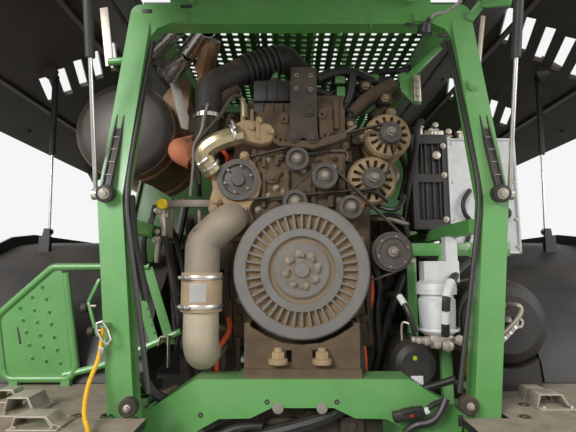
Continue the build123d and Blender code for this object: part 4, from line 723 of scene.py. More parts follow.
# Upper end of the engine: lifting plate, ears, housing, covers
bm = bmesh.new()
lifting = [
    (291, 69), (316, 69), (317.5, 140), (314, 143.5), (309, 142), (303, 139), (297.5, 142), (292, 143),
    (289, 139.5),
]
lifting_face = -2.308
plate(bm, outlined(lifting, lifting_face + 0.016), (0, -0.016, 0), 0.003)
for u, v, r in ((308.8, 112.5, 0.019), (294.3, 137.5, 0.022), (312.6, 138.0, 0.022)):
    spot = seen(u, v, lifting_face)
    stud(bm, spot, 0.008, r, 24, 0.002)
    stud(bm, spot, 0.016, r * 0.66, 6, 0.002, back=-0.008)
finished(bm, "lifting_plate", engine_dark)
bm = bmesh.new()
for u, v in ((296.8, 75.3), (310.6, 75.8), (296.3, 88.6), (310.6, 89.6)):
    lathe(
        bm, [(0, 0.004), (0, 0.008), (-0.004, 0.0075), (-0.004, 0.0045)], seen(u, v, lifting_face),
        (0, 1, 0), 16,
    )
finished(bm, "lifting_plate_bushes", cable_grey)
bm = bmesh.new()
left_ear = [(280, 117), (286, 115), (289, 118), (290, 142), (280, 146), (276, 142), (273, 134)]
right_ear = [(318, 112), (331, 108), (333, 134), (324, 142), (319, 140)]
ledge = [
    (270, 131), (276, 142), (280, 146), (290, 143), (317, 144), (330, 139), (345, 134), (345, 141),
    (330, 147), (312, 152), (300, 150), (280, 149), (268, 142),
]
ear_back = -2.266
for outline, depth in ((left_ear, -0.03), (right_ear, -0.03), (ledge, -0.042)):
    plate(bm, outlined(outline, ear_back), (0, depth, 0), 0.004)
for u, v in ((284.3, 120.2), (280.8, 140.6), (322, 115.6), (325, 136.5)):
    spot = seen(u, v, ear_back - 0.03)
    lathe(bm, [
        (0.002, 0.006), (0.002, 0.015), (-0.01, 0.0145), (-0.012, 0.012), (-0.01, 0.006),
    ], spot, (0, 1, 0), 20)
finished(bm, "engine_ears", engine_cast)
bm = bmesh.new()
head_face = -2.262
pane(bm, (253.5, 80, 290, 101), head_face, head_face, head_face + 0.1, 0.006)
pane(bm, (253.5, 102.4, 290, 113), head_face, head_face, head_face + 0.09, 0.006)
for u, v0, v1 in ((262, 103, 112), (272, 103, 112), (282, 103, 112), (265, 81, 100), (275, 81, 100)):
    pane(bm, (u, v0, u + 1.6, v1), head_face, head_face - 0.008, head_face + 0.004, 0.001)
finished(bm, "engine_head_covers", black_satin)
bm = bmesh.new()
housing = [
    (237, 127), (246, 124), (258, 125), (272, 129), (276, 136), (272, 146), (262, 149), (246, 145),
    (238, 145),
]
plate(bm, outlined(housing, head_face), (0, -0.055, 0), 0.012)
pane(bm, (257, 122, 261, 144), head_face, head_face - 0.06, head_face, 0.003)
for u, v in ((260, 121), (272, 132), (252, 128)):
    stud(bm, seen(u, v, -2.318), 0.012, 0.01, 6, 0.001)
finished(bm, "thermostat_housing", dusty_tan)
hoses("thermostat_elbow", silver_pipe, [
    (0.034, [(241, 135, -2.31), (222, 139, -2.33), (204, 150, -2.32), (205, 162, -2.31),
        (213, 172, -2.29)]),
    (0.009, [(243, 127, -2.31), (243, 118, -2.3), (243, 99, -2.28)]),
    (0.013, [(244.5, 118, -2.3), (244, 104, -2.29)]), (0.007, [(252, 123, -2.29), (252, 110, -2.28)]),
])
bm = bmesh.new()
clamp(
    bm, seen(232, 135, -2.322), seen(222, 139, -2.33) - seen(241, 135, -2.31), 0.0345, 0.012,
    (0.3, -1, 0.6),
)
clamp(
    bm, seen(210.5, 166, -2.302), seen(213, 172, -2.29) - seen(205, 162, -2.31), 0.0345, 0.012,
    (-0.4, -1, 0.2),
)
lathe(bm, band(-0.008, 0.008, 0.0555, 0.058), (-0.352, -2.2, 2.182), (0, 0, 1), 40)
finished(bm, "hose_clamps", bright_steel)

# Ribs, bosses and plugs on the belt end of the crankcase
bm = bmesh.new()
for u0, v0, u1, v1, deep in (
    (252, 150, 256, 168, 0.016), (262, 152, 266, 168, 0.02), (275, 152, 279, 166, 0.014),
    (284, 170, 289, 205, 0.02), (262, 172, 266, 208, 0.014), (270, 171, 290, 174, 0.012),
    (311, 165, 315, 205, 0.018), (328, 196, 333, 208, 0.02), (333, 100, 338, 130, 0.016),
    (330, 150, 346, 153, 0.014), (338, 158, 343, 190, 0.016), (296, 212, 300, 222, 0.012),
    (246, 214, 250, 232, 0.016), (352, 300, 357, 322, 0.016), (228, 300, 233, 340, 0.018),
    (236, 336, 241, 372, 0.016),
):
    pane(bm, (u0, v0, u1, v1), cover_y, cover_y - deep, cover_y + 0.004, 0.003)
for u, v, r, h in (
    (272, 178, 0.024, 0.016), (281, 158, 0.013, 0.02), (255, 142, 0.012, 0.018), (279, 174, 0.011, 0.012),
    (275, 207, 0.02, 0.018), (270, 212, 0.012, 0.014), (340, 176, 0.016, 0.018), (333, 158, 0.012, 0.014),
    (345, 146, 0.014, 0.016), (318, 160, 0.01, 0.012), (248, 246, 0.013, 0.016), (352, 226, 0.014, 0.018),
    (238, 318, 0.014, 0.016), (364, 318, 0.014, 0.016), (262, 352, 0.012, 0.014), (345, 352, 0.012, 0.014),
):
    at = slid(u, v, cover_y, cover_y + 0.002)
    stud(bm, at, h, r, 20, 0.003, back=0.024)
    stud(bm, at, h + 0.007, r * 0.55, 6, 0.001, back=-h)
finished(bm, "crankcase_ribs", engine_cast)
bm = bmesh.new()
for u, v in (
    (257, 158), (268, 160), (290, 160), (304, 172), (310, 190), (284, 192), (258, 210), (334, 168),
    (339, 200), (268, 196), (276, 188), (246, 222), (243, 240), (361, 240), (365, 262), (240, 300),
):
    bolt(bm, slid(u, v, cover_y, cover_y - 0.001), 0.008, 0.007)
finished(bm, "crankcase_bolts", worn_steel)

# Nuts of the cast mount under the damper
bm = bmesh.new()
for u in (278, 322):
    spot = seen(u, 362, -2.4)
    for r, h, sides in ((0.03, 0.01, 28), (0.022, 0.032, 6), (0.013, 0.044, 14)):
        round_bar(bm, spot + Vector((0, 0, -0.006)), spot + Vector((0, 0, h)), r, sides, 0.002)
finished(bm, "mount_nuts", dusty_tan)

# Bolts round the damper's hub
bm = bmesh.new()
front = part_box("crank_damper")[0][1]
for number in range(8):
    turn = 2 * pi * number / 8 + 0.2
    at = crank + Vector((0.053 * cos(turn), 0.0, 0.053 * sin(turn)))
    bolt(bm, (at.x, front + 0.01, at.z), 0.0095, 0.006, 1.35)
finished(bm, "damper_bolts", worn_steel)

# Arch: broken edges, rubber seal, stay rails, rollers, slots
dressed("rear_arch", "arch_frame", green_paint, bevel=0.005)
seal_runs = []
for side in (-1, 1):
    inner = arch_half + 0.008
    seal_points = (
        (side * (arch_foot.x - inner), arch_foot.y - 0.03, 1.26),
        (side * (arch_bend.x - inner - 0.02), arch_bend.y - 0.03, 1.7),
        (side * (arch_bend.x - inner), arch_bend.y - 0.026, arch_bend.z),
        (side * (arch_bend.x - inner), arch_bend.y + 0.006, 1.95),
        (side * (arch_top.x - inner), arch_top.y - 0.052, 2.33),
        (side * (arch_top.x - inner - 0.006), arch_top.y - 0.04, 2.4),
    )
    seal_runs.append((0.008, [Vector(p) for p in seal_points]))
hoses("arch_rubber_seals", hose_black, seal_runs)
bm = bmesh.new()
pivots = {}
for side in (-1, 1):
    low = Vector((side * 0.582, -2.546, 1.84))
    high = Vector((side * 0.586, -2.418, 2.19))
    pivots[side] = (low, high)
    strap(bm, low, high, 0.03, 0.01, 0.003, face=(0, -1, -0.3))
    for edge in (-0.011, 0.011):
        strap(
            bm, low + Vector((edge, -0.007, 0.0)), high + Vector((edge, -0.007, 0.0)), 0.005, 0.008, 0.001,
            face=(0, -1, -0.3),
        )
    round_bar(bm, low + Vector((0, 0.012, -0.012)), low + Vector((0, -0.02, -0.02)), 0.026, 28, 0.003)
    round_bar(bm, high + Vector((0, 0.012, 0.0)), high + Vector((0, -0.012, -0.006)), 0.02, 24, 0.003)
finished(bm, "stay_rails", black_satin)
bm = bmesh.new()
for side in (-1, 1):
    low, high = pivots[side]
    for number in range(1, 8):
        at = low.lerp(high, number / 8.0)
        strap(
            bm, at + Vector((-0.012, -0.0075, 0)), at + Vector((0.012, -0.0075, 0)), 0.0025, 0.004, 0.0005,
            face=(0, -1, -0.3),
        )
    bolt(bm, low + Vector((0, -0.018, -0.018)), 0.012, 0.01, 1.4, way=(0, -1, -0.25))
finished(bm, "stay_rail_ribs", zinc_steel)
bm = bmesh.new()
hubs = bmesh.new()
for side, u, v in ((-1, 130, 406), (1, 467, 404)):
    at = seen(u, v, -2.556)
    outline = [
        (-0.004, 0.008), (-0.004, 0.022), (0.0, 0.0265), (0.018, 0.0265), (0.024, 0.022), (0.024, 0.008),
    ]
    lathe(bm, outline, at, (0, -1, 0), 32)
    stud(hubs, at, 0.027, 0.0105, 20, 0.001, back=0.006)
    bolt(hubs, at + Vector((0, -0.027, 0)), 0.0075, 0.006, 0)
finished(bm, "arch_rollers", engine_dark)
finished(hubs, "arch_roller_hubs", zinc_steel)
# Thin black slabs in the arch's slots: painted shade for the dark inside the openings
bm = bmesh.new()
for u, v, wide, tall, y in (
    (186, 6, 0.04, 0.01, -2.372), (410, 24, 0.034, 0.01, -2.372), (136, 423, 0.014, 0.03, -2.556),
    (461, 421, 0.014, 0.03, -2.556), (147, 11, 0.034, 0.013, -2.372), (442, 35, 0.034, 0.013, -2.372),
):
    at = seen(u, v, y)
    slab(bm, at + Vector((-wide / 2, -0.001, -tall / 2)), at + Vector((wide / 2, 0.004, tall / 2)), 0.0009)
finished(bm, "arch_slot_painted_shade", fender_black)
bm = bmesh.new()
for u, v0, v1, y in ((226, 1, 16, -2.369), (370, 10, 27, -2.369)):
    strap(bm, seen(u, v0, y), seen(u + 1.5, v1, y), 0.004, 0.003, 0.0005)
for side in (-1, 1):
    for z, y in ((2.2, -2.424), (2.3, -2.405)):
        strap(
            bm, (side * (arch_bend.x - 0.036), y, z), (side * (arch_bend.x + 0.034), y, z + 0.004), 0.004,
            0.003, 0.0005, face=(0, -1, -0.2),
        )
finished(bm, "arch_weld_seams", green_paint)

# Cross beam: pale discs and dark bushes
bm = bmesh.new()
beam_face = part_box("engine_cross_beam")[0][1]
for u in (278, 322):
    stud(bm, seen(u, 408, beam_face), 0.004, 0.017, 28, 0.001)
finished(bm, "cross_beam_discs", cable_grey)
bm = bmesh.new()
for u, v in ((267, 402), (337, 402), (200.5, 415), (404, 414)):
    lathe(
        bm, [(0, 0.003), (0, 0.008), (-0.002, 0.0075), (-0.002, 0.003)], seen(u, v, beam_face), (0, 1, 0),
        16,
    )
finished(bm, "cross_beam_bushes", engine_dark)

# Link bars, lugs, lamp plug and cable at the top of the arch
bm = bmesh.new()
strap(bm, seen(461, 49, -2.34), seen(469, 18, -2.335), 0.016, 0.006)
strap(bm, seen(476, 89, -2.355), seen(483, 16, -2.335), 0.016, 0.006)
strap(bm, seen(104, 8, -2.335), seen(110, 66, -2.345), 0.03, 0.006)
finished(bm, "hatch_link_bars", zinc_steel)
bm = bmesh.new()
round_bar(bm, seen(108, 62, -2.358), seen(136, 60, -2.352), 0.013, 16, 0.003)
round_bar(bm, seen(473, 86, -2.46), seen(466, 84, -2.42), 0.013, 16, 0.003)
strap(bm, seen(469, 20, -2.37), seen(482, 3, -2.4), 0.03, 0.012)
strap(bm, seen(481, 3, -2.4), seen(512, 1, -2.44), 0.034, 0.012)
finished(bm, "hatch_link_lugs", green_paint)
bm = bmesh.new()
spot = seen(424, 34, -2.365)
lathe(bm, [
    (0, 0), (0, 0.024), (0.004, 0.026), (0.03, 0.022), (0.034, 0.018), (0.034, 0),
], spot, (0.1, -0.4, 1), 24)
round_bar(bm, seen(426, 28, -2.375), seen(430, 19, -2.38), 0.009, 14, 0.002)
finished(bm, "lamp_plug", hose_black)
hoses("arch_cables", cable_grey, [
    (0.006, [(430, 19, -2.38), (434, 13, -2.38), (446, 14, -2.365), (461, 1, -2.36)]),
])


def solids_of(bm):
    """The separate solids of a mesh, each as its list of faces."""
    left = set(bm.faces)
    found = []
    while left:
        queue = [left.pop()]
        group = []
        while queue:
            face = queue.pop()
            group.append(face)
            for edge in face.edges:
                for other in edge.link_faces:
                    if other in left:
                        left.discard(other)
                        queue.append(other)
        found.append(group)
    return found


# Belts and pulleys, each its own finish
bm = bmesh.new()
bm.from_mesh(nodes["belt_drive"].data)
bmesh.ops.remove_doubles(bm, verts=bm.verts, dist=1e-05)
for group in solids_of(bm):
    across = [v.co.x for face in group for v in face.verts]
    if max(across) - min(across) > 0.4:
        for face in group:
            face.material_index = 1
pulleys = finished(bm, "pulleys_and_belts", [pulley_grey, belt_rubber])
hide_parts("belt_drive")
driven = ((0.326, 2.094, 0.045, -2.309), (0.262, 1.926, 0.045, -2.309), (0.312, 1.662, 0.08, -2.343))
pulley_boxes = [
    (pulley_grey, (x - reach, -2.36, z - reach), (x + reach, -2.266, z + reach))
    for x, z, reach, *_ in driven
]
dressed("engine_accessories", "alternators_and_compressor", alternator_tan, pulley_boxes)
bm = bmesh.new()
for x, z, _, y in driven:
    round_bar(bm, (x, y, z), (x, y - 0.012, z), 0.011, 6, 0.001)
    lathe(bm, band(0, -0.003, 0.011, 0.017), (x, y, z), (0, 1, 0), 24)
for x, z, y, ring in ((-0.222, 1.919, -2.307, 0.048), (0.312, 1.662, -2.343, 0.052)):
    for number in range(6):
        turn = 2 * pi * number / 6 + 0.3
        bolt(bm, (x + ring * cos(turn), y + 0.004, z + ring * sin(turn)), 0.005, 0.004, 0)
for x, z, y in (
    (0.083, 1.926, -2.339), (-0.02, 1.835, -2.339), (0.173, 1.817, -2.339), (-0.012, 1.996, -2.307),
):
    bolt(bm, (x, y + 0.002, z), 0.011, 0.008, 1.4)
finished(bm, "pulley_nuts", worn_steel)

# Perforated roof: the ribs, hinge brackets and spout rest of the node on a sheet with small oval holes
sheet_low, sheet_high = 2.5883, 2.592
stack_at = Vector((-0.43, -1.09, 0.0))
bm = bmesh.new()
bm.from_mesh(nodes["bay_roof"].data)
bmesh.ops.remove_doubles(bm, verts=bm.verts, dist=1e-05)
geom = bm.verts[:] + bm.edges[:] + bm.faces[:]
cut = bmesh.ops.bisect_plane(
    bm, geom=geom, plane_co=(0, 0, sheet_high + 0.0004), plane_no=(0, 0, -1), clear_outer=True,
)["geom_cut"]
bmesh.ops.edgeloop_fill(bm, edges=[g for g in cut if isinstance(g, bmesh.types.BMEdge)])
upper = finished(bm, "roof_brackets_and_rest", sheet_green_painted_shade)
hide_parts("bay_roof")
bm = bmesh.new()
columns, rows = 24, 46
bmesh.ops.create_grid(bm, x_segments=columns, y_segments=rows, size=0.5)
span = Matrix.Translation((0.0, -1.2925, sheet_high)) @ Matrix.Diagonal((1.176, 1.985, 1.0, 1.0))
bmesh.ops.transform(bm, matrix=span, verts=bm.verts)
stack_hole, stack_rim, seam_y = 0.095, 0.135, -1.29
cells = []
stack_cells = []
for face in bm.faces:
    middle = face.calc_center_median()
    near_stack = (Vector((middle.x, middle.y, 0)) - stack_at).length
    on_sheet = abs(middle.x) < 0.545 and -2.235 < middle.y < -0.34 and abs(middle.y - seam_y) > 0.06
    if near_stack < stack_hole:
        stack_cells.append(face)
    elif near_stack > stack_rim and on_sheet:
        cells.append(face)
bmesh.ops.delete(bm, geom=stack_cells, context="FACES_ONLY")
bmesh.ops.inset_individual(bm, faces=cells, thickness=0.0142, depth=0.0)
for face in cells:
    middle = face.calc_center_median()
    for v in face.verts:
        v.co.x = middle.x + (v.co.x - middle.x) * 0.8
corners = list({v for face in cells for v in face.verts})
bmesh.ops.delete(bm, geom=cells, context="FACES_ONLY")
rounding = [v for v in corners if v.is_valid]
bmesh.ops.bevel(
    bm, geom=rounding, offset=0.0045, affect="VERTICES", segments=2, profile=0.5, material=-1,
    clamp_overlap=True,
)
bmesh.ops.solidify(bm, geom=bm.faces[:], thickness=0.0035)
finished(bm, "perforated_roof_sheet", sheet_green_painted_shade)
bm = bmesh.new()
lathe(bm, band(0, -0.004, 0.072, 0.118), stack_at + Vector((0, 0, sheet_low - 0.0003)), (0, 0, 1), 40)
for number in range(6):
    turn = 2 * pi * number / 6
    at = stack_at + Vector((0.104 * cos(turn), 0.104 * sin(turn), sheet_low - 0.004))
    bolt(bm, at, 0.008, 0.006, way=(0, 0, -1))
finished(bm, "stack_flange", sheet_green_painted_shade)
bm = bmesh.new()
for x in (-0.18, 0.15, 0.42):
    slab(bm, (x, -2.24, 2.574), (x + 0.012, -0.36, sheet_low), 0.002)
finished(bm, "roof_stiffeners", sheet_green_painted_shade)
bm = bmesh.new()
slab(bm, (-0.19, -1.322, 3.2795), (0.19, -1.258, 3.318), 0.008)
for low, high in mirrored((0.15, -1.322, 3.3), (0.2, -1.258, 3.336)):
    slab(bm, low, high, 0.006)
finished(bm, "spout_rest_pad", black_rubber)

# Decks and fenders
deck_boxes = mirrored((0.4, -2.9, 1.19), (1.3, -2.262, 1.21))
deck_tones = [(deck_grain, *box) for box in deck_boxes]
dressed("rear_fenders", "decks_and_fenders", fender_black, deck_tones)
bm = bmesh.new()
for low, high in mirrored((0.62, -2.852, 1.15), (1.24, -2.846, 1.206)):
    slab(bm, low, high, 0.002)
finished(bm, "deck_edge_trim", black_satin)
bm = bmesh.new()
latches = [
    (seen(30, 392, -2.5), 0.1, 0.13, 0.045), (seen(42, 424, -2.62), 0.13, 0.1, 0.03),
    (seen(14, 366, -2.4), 0.08, 0.08, 0.035), (seen(548, 386, -2.46), 0.11, 0.1, 0.04),
    (seen(534, 372, -2.38), 0.09, 0.08, 0.034),
]
for at, wide, deep, tall in latches:
    x, y = at.x, at.y
    slab(
        bm, (x - wide / 2, y - deep / 2, deck_top - 0.0005), (x + wide / 2, y + deep / 2, deck_top + 0.004),
        0.001,
    )
    profile = [
        (x - wide / 2, y, deck_top + 0.003), (x - wide / 2 + 0.01, y, deck_top + tall),
        (x + wide / 5, y, deck_top + tall), (x + wide / 5 + 0.018, y, deck_top + 0.012),
        (x + wide / 2, y, deck_top + 0.006), (x + wide / 2, y, deck_top + 0.003),
        (x + wide / 5 + 0.01, y, deck_top + 0.007), (x + wide / 5 - 0.006, y, deck_top + tall - 0.004),
        (x - wide / 2 + 0.014, y, deck_top + tall - 0.004), (x - wide / 2 + 0.006, y, deck_top + 0.003),
    ]
    shifted = [(px, py - deep * 0.32, pz) for px, py, pz in profile]
    plate(bm, shifted, (0, deep * 0.64, 0), 0.0006)
    for dx, dy in ((-0.36, -0.42), (0.36, -0.42), (-0.36, 0.42), (0.36, 0.42)):
        bolt(bm, (x + dx * wide, y + dy * deep, deck_top + 0.003), 0.006, 0.004, 1.3, way=(0, 0, 1))
finished(bm, "deck_latches", zinc_steel)
bm = bmesh.new()
for u, v in ((78, 416), (106, 416), (486, 406), (524, 405), (525, 417)):
    ray = seen(u, v, -2.5) - eye
    spot = eye + ray * ((deck_top - eye.z) / ray.z)
    lathe(bm, [(0.0004, 0.009), (0.0004, 0.016), (0.003, 0.014), (0.003, 0.009)], spot, (0, 0, 1), 20)
finished(bm, "deck_drain_rims", black_rubber)

# Cooler box with its black frame, seams, rivets and fittings
dressed(
    "side_cooler", "cooler_box", pale_sheet,
    [(black_satin, (0.45, -2.11, 1.74), (0.6016, -2.02, 2.16))], bevel=0.003,
)
bm = bmesh.new()
slab(bm, (0.472, -2.082, 1.775), (0.59, -2.06, 2.135), 0.002)
for x in (0.495, 0.512, 0.54, 0.566):
    slab(bm, (x, -2.094, 1.772), (x + 0.007, -2.078, 2.138), 0.002)
finished(bm, "cooler_frame_panels", black_satin)
bm = bmesh.new()
for z in (1.69, 1.8, 1.95, 2.11):
    for x in (0.615, 0.862):
        bolt(bm, (x, -2.1, z), 0.005, 0.003, 1.4)
for z in (1.8, 1.98, 2.1):
    bolt(bm, (0.585, -2.1, z), 0.008, 0.006, 1.5)
stud(bm, Vector((0.555, -2.094, 2.06)), 0.016, 0.017, 20, 0.003)
finished(bm, "cooler_rivets", zinc_steel)
bm = bmesh.new()
for x in (0.607, 0.872):
    slab(bm, (x - 0.006, -2.106, 1.664), (x + 0.004, -2.097, 2.132), 0.002)
for z in (1.668, 2.126):
    slab(bm, (0.604, -2.106, z - 0.004), (0.874, -2.097, z + 0.005), 0.002)
finished(bm, "cooler_edge_folds", pale_sheet)
bm = bmesh.new()
for x, y, z, r, h in (
    (0.56, -2.06, 2.15, 0.02, 0.035), (0.5, -2.07, 2.15, 0.016, 0.045), (0.62, -2.04, 2.134, 0.022, 0.03),
    (0.68, -2.05, 2.134, 0.017, 0.045), (0.74, -2.02, 2.134, 0.014, 0.026),
):
    round_bar(bm, (x, y, z - 0.002), (x, y, z + h), r, 20, 0.002)
    round_bar(bm, (x, y, z + h), (x, y - 0.04, z + h + 0.006), r * 0.6, 16, 0.002)
    round_bar(bm, (x, y, z + h - 0.012), (x, y, z + h - 0.002), r * 1.25, 6, 0.001)
slab(bm, (0.52, -2.075, 2.149), (0.6, -2.045, 2.175), 0.003)
finished(bm, "cooler_fittings", zinc_steel)
hoses("cooler_hoses", hose_black, [
    (0.012, [Vector((0.5, -2.11, 2.2)), Vector((0.47, -2.16, 2.19)), Vector((0.46, -2.14, 2.06)),
        Vector((0.44, -2.1, 1.94)), Vector((0.43, -2.06, 1.8))]),
    (0.009, [(470, 190, -2.11), (462, 200, -2.12), (464, 214, -2.12), (471, 220, -2.11), (469, 236, -2.11),
        (466, 244, -2.1)]),
    (0.007, [(492, 210, -2.108), (504, 206, -2.125), (512, 213, -2.13), (504, 221, -2.125),
        (494, 219, -2.106)]),
    (0.014, [(428, 247, -2.07), (415, 243, -2.06), (400, 250, -2.02), (392, 262, -1.98)]),
])

# Guard at the left: dimples, slot, rung holes, bottom tube, latch bracket and bumpers
guard_y = -2.235
bm = bmesh.new()
dimples = (
    (42, 287), (32, 297), (46, 299), (20, 308), (34, 310), (49, 312), (23, 320), (37, 322), (51, 324),
    (26, 332), (40, 335), (54, 337), (29, 345), (43, 347), (57, 350), (32, 358), (46, 361), (60, 363),
)
for u, v in dimples:
    spot = seen(u, v, guard_y - 0.002)
    outline = [
        (-0.001, 0.0), (-0.001, 0.0085), (0.0015, 0.008), (0.004, 0.0048), (0.004, 0.003), (0.0015, 0.0),
    ]
    lathe(bm, outline, spot, (0, -1, 0), 14)
finished(bm, "guard_plate_dimples", green_paint)
# Thin black discs and a strip in the dimples, slot and rung holes: painted shade for the dark through the
# openings
bm = bmesh.new()
strap(bm, seen(17.5, 327, guard_y - 0.0022), seen(20.5, 344, guard_y - 0.0022), 0.007, 0.0012, 0.0003)
for u, v in dimples:
    stud(bm, seen(u, v, guard_y - 0.0058), 0.0006, 0.0032, 12)
for number in range(8):
    share = (number + 0.9) / 8.6
    stud(bm, seen(136 + 20 * share, 268.6 + 70.4 * share, guard_y - 0.0022), 0.0008, 0.0034, 12)
finished(bm, "guard_hole_painted_shade", fender_black)
hoses("guard_lower_tube", green_paint, [
    (0.012, [Vector((-0.832, guard_y, 1.236)), (93.6, 368.8, guard_y), (117, 358.8, guard_y),
        (157, 342, guard_y), (181, 331, guard_y)]),
])
bm = bmesh.new()
zigzag = [
    seen(100, 279, guard_y), seen(88.6, 302, guard_y), seen(97, 334, guard_y), seen(113.6, 344, guard_y),
    seen(114, 360, guard_y),
]
for a, b in zip(zigzag, zigzag[1:]):
    strap(bm, a, b, 0.012, 0.012, 0.002)
finished(bm, "guard_latch_bracket", green_paint)
bm = bmesh.new()
for u, v in ((86, 308), (92.7, 331.7)):
    spot = seen(u, v, guard_y)
    round_bar(bm, spot + Vector((-0.016, 0, 0)), spot + Vector((0.006, 0, 0)), 0.017, 20, 0.004)
finished(bm, "guard_bumpers", black_rubber)
bm = bmesh.new()
for u, v in ((92, 306), (98.6, 330.4)):
    spot = seen(u, v, guard_y)
    round_bar(bm, spot + Vector((-0.006, 0, 0)), spot + Vector((0.016, 0, 0)), 0.005, 12, 0.001)
bent = [(158.7, 345.4), (161.2, 336.3), (168.8, 336.3), (168.6, 367)]
for a, b in zip(outlined(bent, guard_y - 0.03), outlined(bent[1:], guard_y - 0.03)):
    strap(bm, a, b, 0.004, 0.03, 0.001)
finished(bm, "guard_zinc_parts", zinc_steel)

# Carabiner and the rope's ferrule on the arch lug
hook_top = Vector((-0.566, -2.572, 1.446))
bm = bmesh.new()
ring_points = [
    (-0.012, 0.006), (0.004, 0.012), (0.02, -0.01), (0.03, -0.038), (0.022, -0.05), (0.006, -0.04),
    (-0.01, -0.014),
]
carabiner = [hook_top + Vector((x, -0.004, z)) for x, z in ring_points]
for a, b in zip(carabiner, carabiner[1:] + carabiner[:1]):
    round_bar(bm, a, b, 0.0032, 12)
    bmesh.ops.create_icosphere(bm, subdivisions=2, radius=0.0032, matrix=Matrix.Translation(a))
finished(bm, "carabiner", bright_steel, sharp=50.0)
bm = bmesh.new()
round_bar(bm, (-0.5662, -2.562, 1.388), (-0.5662, -2.562, 1.366), 0.0098, 20, 0.002)
finished(bm, "rope_ferrule", zinc_steel)

# Levers, valves and hoses between the guard and the engine
hoses("left_bay_hoses", hose_black, [
    (0.01, [(154.6, 206, -2.28), (153, 218.5, -2.3), (145.4, 231.8, -2.3), (142.9, 248.5, -2.28),
        (145.4, 264, -2.24)]),
    (0.016, [(141, 372, beam_face + 0.03), (150, 391, beam_face + 0.03), (164, 400, beam_face + 0.04),
        (192, 409, beam_face + 0.06)]),
    (0.013, [(131, 196, -2.46), (133, 240, -2.47), (140, 268, -2.47), (146, 300, -2.47)]),
    (0.012, [(205, 106, -2.25), (200, 140, -2.2), (197, 170, -2.16), (199, 196, -2.12)]),
    (0.01, [(171, 228, -2.255), (176, 238, -2.2), (184, 270, -2.2), (186, 300, -2.18), (176, 350, -2.14)]),
    (0.02, [(170, 244, -2.05), (176, 300, -2.05), (190, 372, -2.1), (192, 402, beam_face + 0.03)]),
    (0.018, [(186, 200, -1.95), (180, 232, -1.95), (172, 262, -1.98), (176, 330, -2.02)]),
])
hoses("left_bay_cables", cable_grey, [
    (0.0055, [(208, 104, -2.26), (204, 114, -2.27), (202, 132, -2.28), (193, 146, -2.28), (194, 166, -2.27),
        (190, 196, -2.26)]),
])
hoses("left_bay_harness", engine_dark, [
    (0.007, [(241, 96, -2.28), (234, 95, -2.29), (227, 104, -2.29), (222, 114, -2.29), (212, 125, -2.29),
        (199, 140, -2.29), (195, 147, -2.28), (198, 164, -2.26), (200, 184, -2.24)]),
    (0.01, [(165, 237, -2.3), (171, 262, -2.29), (180, 296, -2.27)]),
    (0.012, [(232, 115, -2.24), (226, 132, -2.2), (216, 150, -2.16), (212, 172, -2.14)]),
])
bm = bmesh.new()
strap(bm, seen(165, 203.5, -2.29), seen(219, 203.5, -2.27), 0.026, 0.01)
strap(bm, seen(172, 203, -2.275), seen(170, 238, -2.262), 0.02, 0.01)
strap(bm, seen(199, 207, -2.262), seen(200, 232, -2.262), 0.012, 0.006)
finished(bm, "left_valve_bracket", worn_steel)
bm = bmesh.new()
round_bar(bm, seen(162, 214, -2.31), seen(164.6, 236, -2.3), 0.011, 18, 0.002)
round_bar(bm, seen(158.7, 236, -2.3), seen(157, 262, -2.27), 0.0105, 18, 0.002)
for u, v, r in (
    (157.5, 211, 0.011), (162.5, 212, 0.014), (166.5, 216, 0.01), (158, 232, 0.01), (156.5, 240, 0.013),
    (166, 207, 0.009),
):
    stud(bm, seen(u, v, -2.3), 0.014, r, 6, 0.0015, back=0.012)
for v in (274, 279, 284):
    spot = seen(154, v, -2.22)
    round_bar(bm, spot + Vector((-0.006, 0, 0)), spot + Vector((0.008, 0, 0)), 0.005, 8, 0.001)
finished(bm, "left_valve_fittings", zinc_steel)
bm = bmesh.new()
spot = seen(162, 204, -2.33)
lathe(bm, [
    (-0.008, 0.0), (-0.008, 0.013), (-0.004, 0.0185), (0.006, 0.0185), (0.01, 0.012), (0.01, 0.0),
], spot, (0.25, -1, 0.1), 24)
strap(bm, seen(157.5, 203, -2.335), seen(167, 205, -2.335), 0.016, 0.012, 0.004)
finished(bm, "yellow_turn_handle", safety_yellow)
bm = bmesh.new()
flank = [(141, 182), (152, 186), (172, 198), (168, 228), (152, 262), (123.5, 262), (131, 224)]
plate(bm, outlined(flank, -1.98), (0, 0.03, 0), 0.001)
strap(bm, seen(141.5, 181, -1.984), seen(123.5, 262, -1.984), 0.01, 0.022)
finished(bm, "left_bay_green_plate", sheet_green_painted_shade)

# Stack elbow, its clamp and the chrome heat shields
hoses("stack_elbow", canister_tan_with_painted_light, [
    (0.04, [(211, 40, -2.18), (210, 48, -2.16), (206, 62, -2.09), (205, 70, -2.06)]),
    (0.032, [(205, 68, -2.06), (204, 90, -2.03), (203, 122, -2.02)]),
])
bm = bmesh.new()
clamp(bm, seen(205.5, 69, -2.06), seen(204, 90, -2.03) - seen(205, 68, -2.06), 0.041, 0.028, (0.2, -1, 0))
finished(bm, "stack_elbow_clamp", wrap_orange)
shield_chrome = coating(
    "shield_chrome", (186, 184, 178), 0.16, metal=0.98, tone=(0.2, 10.0), dust=(0.18, 9.0, (120, 108, 84)),
)
shields = (
    (seen(179, 27, -2.25), seen(146, 61, -1.94), 0.032),
    (seen(206, 29, -2.25), seen(171, 76, -1.94), 0.036),
    (seen(188, 55, -2.12), seen(163, 72, -1.92), 0.028),
)
bm = bmesh.new()
for start, end, radius in shields:
    way = end - start
    reach = way.length
    lathe(bm, band(0, reach, radius - 0.002, radius), start, way, 32)
finished(bm, "heat_shields", shield_chrome)
